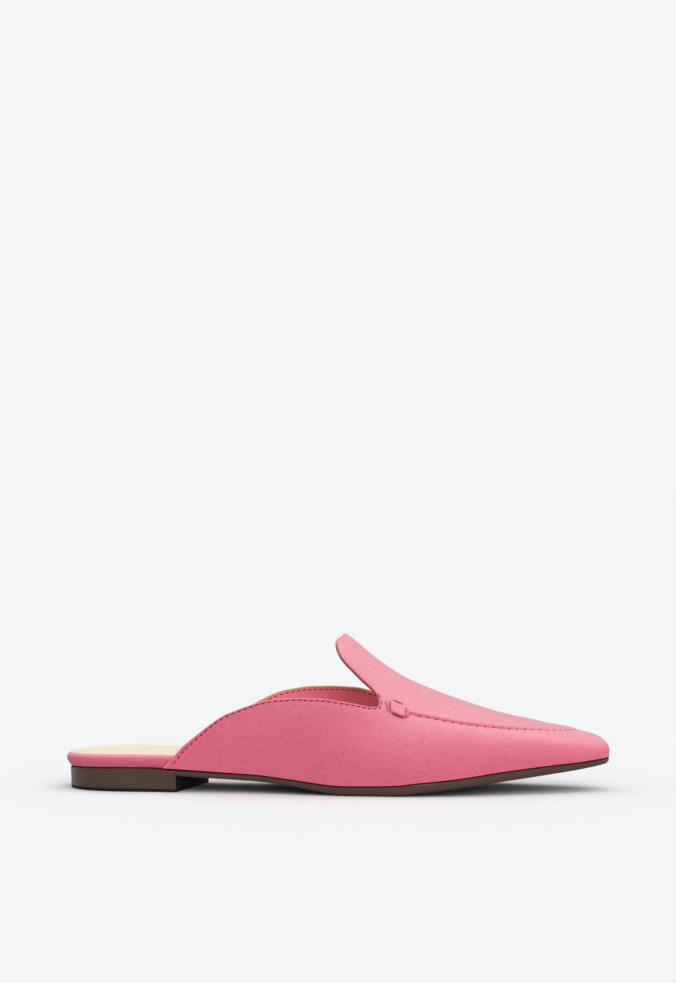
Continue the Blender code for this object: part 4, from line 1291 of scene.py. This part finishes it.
def leather_grain():
    """Leather grain: fine pores, long faint streaks and soft clouds."""
    tree, given, out = effect("leather_grain", {
        "Colour": (0.5, 0.4, 0.3, 1),
        "Pore Size": 0.0006,
        "Pore Depth": 0.1,
        "Streak Depth": 0.1,
        "Roughness": 0.5,
    })
    place = object_place(tree)
    cells = add(tree, "TexVoronoi")
    cells.feature = "SMOOTH_F1"
    feed(place, cells.inputs["Vector"])
    feed(over(1.0, given["Pore Size"]), cells.inputs["Scale"])
    pores = cells.outputs["Distance"]
    streak = noise(scaled(place, (0.12, 1.0, 1.6)), 0.0022, 4, 0.6, 0.2)
    cloud = noise(place, 0.014, 2)
    dark = times(pores, given["Pore Depth"])
    long_shade = times(minus(streak, 0.5), given["Streak Depth"])
    soft_shade = times(minus(cloud, 0.5), times(given["Streak Depth"], 0.7))
    shade = minus(plus(plus(long_shade, soft_shade), 1.0), dark)
    feed(scaled(given["Colour"], shade), out["Colour"])
    feed(plus(times(pores, -1.0), times(streak, 0.3)), out["Height"])
    feed(plus(given["Roughness"], times(long_shade, 0.5)), out["Roughness"])
    return tree


def new_finish(name, effect_tree, values, bump, reach):
    """A material with one effect group in front of its shader, with the shader and the group."""
    made = bpy.data.materials.new(name)
    made.use_nodes = True
    tree = made.node_tree
    shader = tree.nodes["Principled BSDF"]
    group = add(tree, "Group")
    group.node_tree = effect_tree
    for label, value in values.items():
        feed(value, group.inputs[label])
    feed(group.outputs["Colour"], shader.inputs["Base Color"])
    feed(group.outputs["Roughness"], shader.inputs["Roughness"])
    relief = add(tree, "Bump")
    give(relief, Strength=bump, Distance=reach)
    feed(group.outputs["Height"], relief.inputs["Height"])
    feed(relief.outputs["Normal"], shader.inputs["Normal"])
    return made, shader, group


def suede_finish(nap):
    """Rose suede with painted light: paler where its surface faces up and on the seam's ridge (painted top
    light and highlight), darker on the tongue's cut edge (painted shade).
    """
    values = {"Patch Size": 0.016, "Patch Depth": 0.12, "Fibre Size": 0.0006, "Fibre Depth": 0.40}
    made, shader, group = new_finish("rose_suede", nap, values, 0.9, 0.0006)
    tree = made.node_tree
    # painted shade: the tongue's cut edge darkened where it faces down and back
    lit = minus(1.0, times(painted(tree, "wall_shade"), WALL_PAINTED_SHADE))
    # painted top light: the suede's tone turns paler and whiter as its surface faces up
    facing = add(tree, "SeparateXYZ")
    feed(add(tree, "TexCoord").outputs["Normal"], facing.inputs[0])
    # painted highlight: the seam's ridge is pushed towards the top's paler tone
    paler = plus(facing.outputs["Z"], times(painted(tree, "ridge_painted_highlight"), RIDGE_PALE))
    feed(ramp(paler, SUEDE_TOP_LIGHT_TONES), group.inputs["Colour"])
    feed(scaled(group.outputs["Colour"], lit), shader.inputs["Base Color"])
    give(shader, Specular_IOR_Level=0.10, Sheen_Weight=0.22, Sheen_Roughness=0.42)
    give(shader, Sheen_Tint=(1.0, 0.97, 0.98, 1))
    return made


def lining_finish(grain):
    """Smooth pink lining whose edge under the topline is bare tan leather."""
    values = {"Pore Size": 0.0006, "Pore Depth": 0.08, "Streak Depth": 0.06, "Roughness": 0.55}
    made, _, group = new_finish("pink_lining", grain, values, 0.25, 0.0001)
    share = over(painted(made.node_tree, "from_edge"), LINING_EDGE * 2)
    feed(ramp(share, ((0.40, LINING_TAN), (0.52, LINING_PINK))), group.inputs["Colour"])
    return made


def leather_finish(grain, name, colour, pore, pore_depth, streak_depth, roughness, bump, reach, gloss, coat):
    values = {"Colour": (*colour, 1), "Pore Size": pore, "Pore Depth": pore_depth}
    values.update({"Streak Depth": streak_depth, "Roughness": roughness})
    made, shader, _ = new_finish(name, grain, values, bump, reach)
    give(shader, Specular_IOR_Level=gloss, Coat_Weight=coat, Coat_Roughness=COAT_ROUGHNESS)
    return made


# Setting
def make_floor():
    mesh = bpy.data.meshes.new("floor")
    half = FLOOR_REACH
    corners = [(-half, -half, 0), (half, -half, 0), (half, half, 0), (-half, half, 0)]
    mesh.from_pydata(corners, [], [(0, 1, 2, 3)])
    paper = bpy.data.materials.new("pale_paper")
    paper.use_nodes = True
    tree = paper.node_tree
    shader = tree.nodes["Principled BSDF"]
    speck = noise(object_place(tree), 0.03, 2)
    tone = ramp(speck, ((0.3, FLOOR_PALE), (0.7, tuple(0.998 * c for c in FLOOR_PALE))))
    seen = add(tree, "LightPath").outputs["Is Camera Ray"]
    share = plus(FLOOR_SHARE, times(seen, 1 - FLOOR_SHARE))
    feed(scaled(tone, share), shader.inputs["Base Color"])
    give(shader, Roughness=0.9, Specular_IOR_Level=0.0)
    mesh.materials.append(paper)
    placed("floor", mesh)


def make_light():
    """A soft studio: a pale room, brighter overhead, with soft lights in front and above."""
    world = bpy.data.worlds.new("pale_room")
    bpy.context.scene.world = world
    world.use_nodes = True
    tree = world.node_tree
    tree.nodes.clear()
    lit = add(tree, "Background")
    seen = add(tree, "Background")
    either = add(tree, "MixShader")
    up = add(tree, "SeparateXYZ")
    feed(add(tree, "TexCoord").outputs["Generated"], up.inputs[0])
    feed(ramp(up.outputs["Z"], ROOM), lit.inputs["Color"])
    give(lit, Strength=ROOM_LIGHT)
    give(seen, Color=(*BACKDROP, 1), Strength=1.0)
    feed(add(tree, "LightPath").outputs["Is Camera Ray"], either.inputs[0])
    feed(lit.outputs[0], either.inputs[1])
    feed(seen.outputs[0], either.inputs[2])
    feed(either.outputs[0], add(tree, "OutputWorld").inputs["Surface"])
    for name, direction, strength, spread, colour in LIGHTS:
        lamp = bpy.data.lights.new(name, "SUN")
        lamp.energy = strength
        lamp.angle = math.radians(spread)
        lamp.color = colour
        placed(name, lamp).rotation_euler = Vector(direction).to_track_quat("Z", "Y").to_euler()


def make_camera():
    turn = math.radians(VIEW_TURN)
    rise = math.radians(VIEW_RISE)
    back = Vector((math.sin(turn) * math.cos(rise), -math.cos(turn) * math.cos(rise), math.sin(rise)))
    lens = bpy.data.cameras.new("camera")
    lens.lens = VIEW_LENS
    lens.sensor_width = 36
    lens.shift_x, lens.shift_y = VIEW_SHIFT
    lens.clip_end = 100
    made = placed("camera", lens)
    made.location = Vector(VIEW_TARGET) + VIEW_DISTANCE * back
    made.rotation_euler = back.to_track_quat("Z", "Y").to_euler()
    bpy.context.scene.camera = made


# Dressing
# where the plan's start, the heel's rear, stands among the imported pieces
rear = min(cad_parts["footbed"].data.vertices, key=lambda v: v.co.x)
STAND = np.array([rear.co.x, rear.co.y, 0.0])

bpy.context.scene.view_settings.view_transform = "Standard"
grain = leather_grain()
suede = suede_finish(brushed_nap())
lining = lining_finish(grain)
thread, tongue_thread, cream, brown, heel_brown, breast_shade, foot_shadow, gap_shade = (
    leather_finish(grain, *row) for row in LEATHERS
)

apron_seam = seam_line(FINE_STEP)
topline = whole_topline(FINE_STEP)
skin = partial(skin_height, seam=apron_seam, free=topline)
DRESSED = (
    # piece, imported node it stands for, slot
    (make_upper_shell(apron_seam, topline, suede, lining), "upper", "suede"),
    (make_keeper("keeper_band_lateral", -1, apron_seam, suede), "keeper_lateral", "suede"),
    (make_keeper("keeper_band_medial", 1, apron_seam, suede), "keeper_medial", "suede"),
    (make_outsole(brown, foot_shadow, gap_shade), "outsole", "sole"),
    (make_heel(heel_brown, foot_shadow, gap_shade, breast_shade), "heel", "sole"),
    (make_wrapped_footbed(suede), "footbed", "suede"),
    (make_sock(cream), "insole_sock", "sock"),
    (make_topline_stitches(topline, skin, thread), None, "suede"),
    (make_tongue_stitches(topline, skin, tongue_thread), None, "suede"),
    (make_lining_stitches(topline, thread), None, "suede"),
    (make_apron_stitches(apron_seam, skin, thread), None, "suede"),
    # the keepers' slits and creases: dark rolls of painted shade in the dark thread's material
    (make_keeper_slit_shades(apron_seam, skin, thread), None, "suede"),
    (make_keeper_rolls(apron_seam, suede), None, "suede"),
)
for piece, node, slot in DRESSED:
    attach(piece, "root")
    if node is not None:
        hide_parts(node)

make_floor()
make_light()
make_camera()
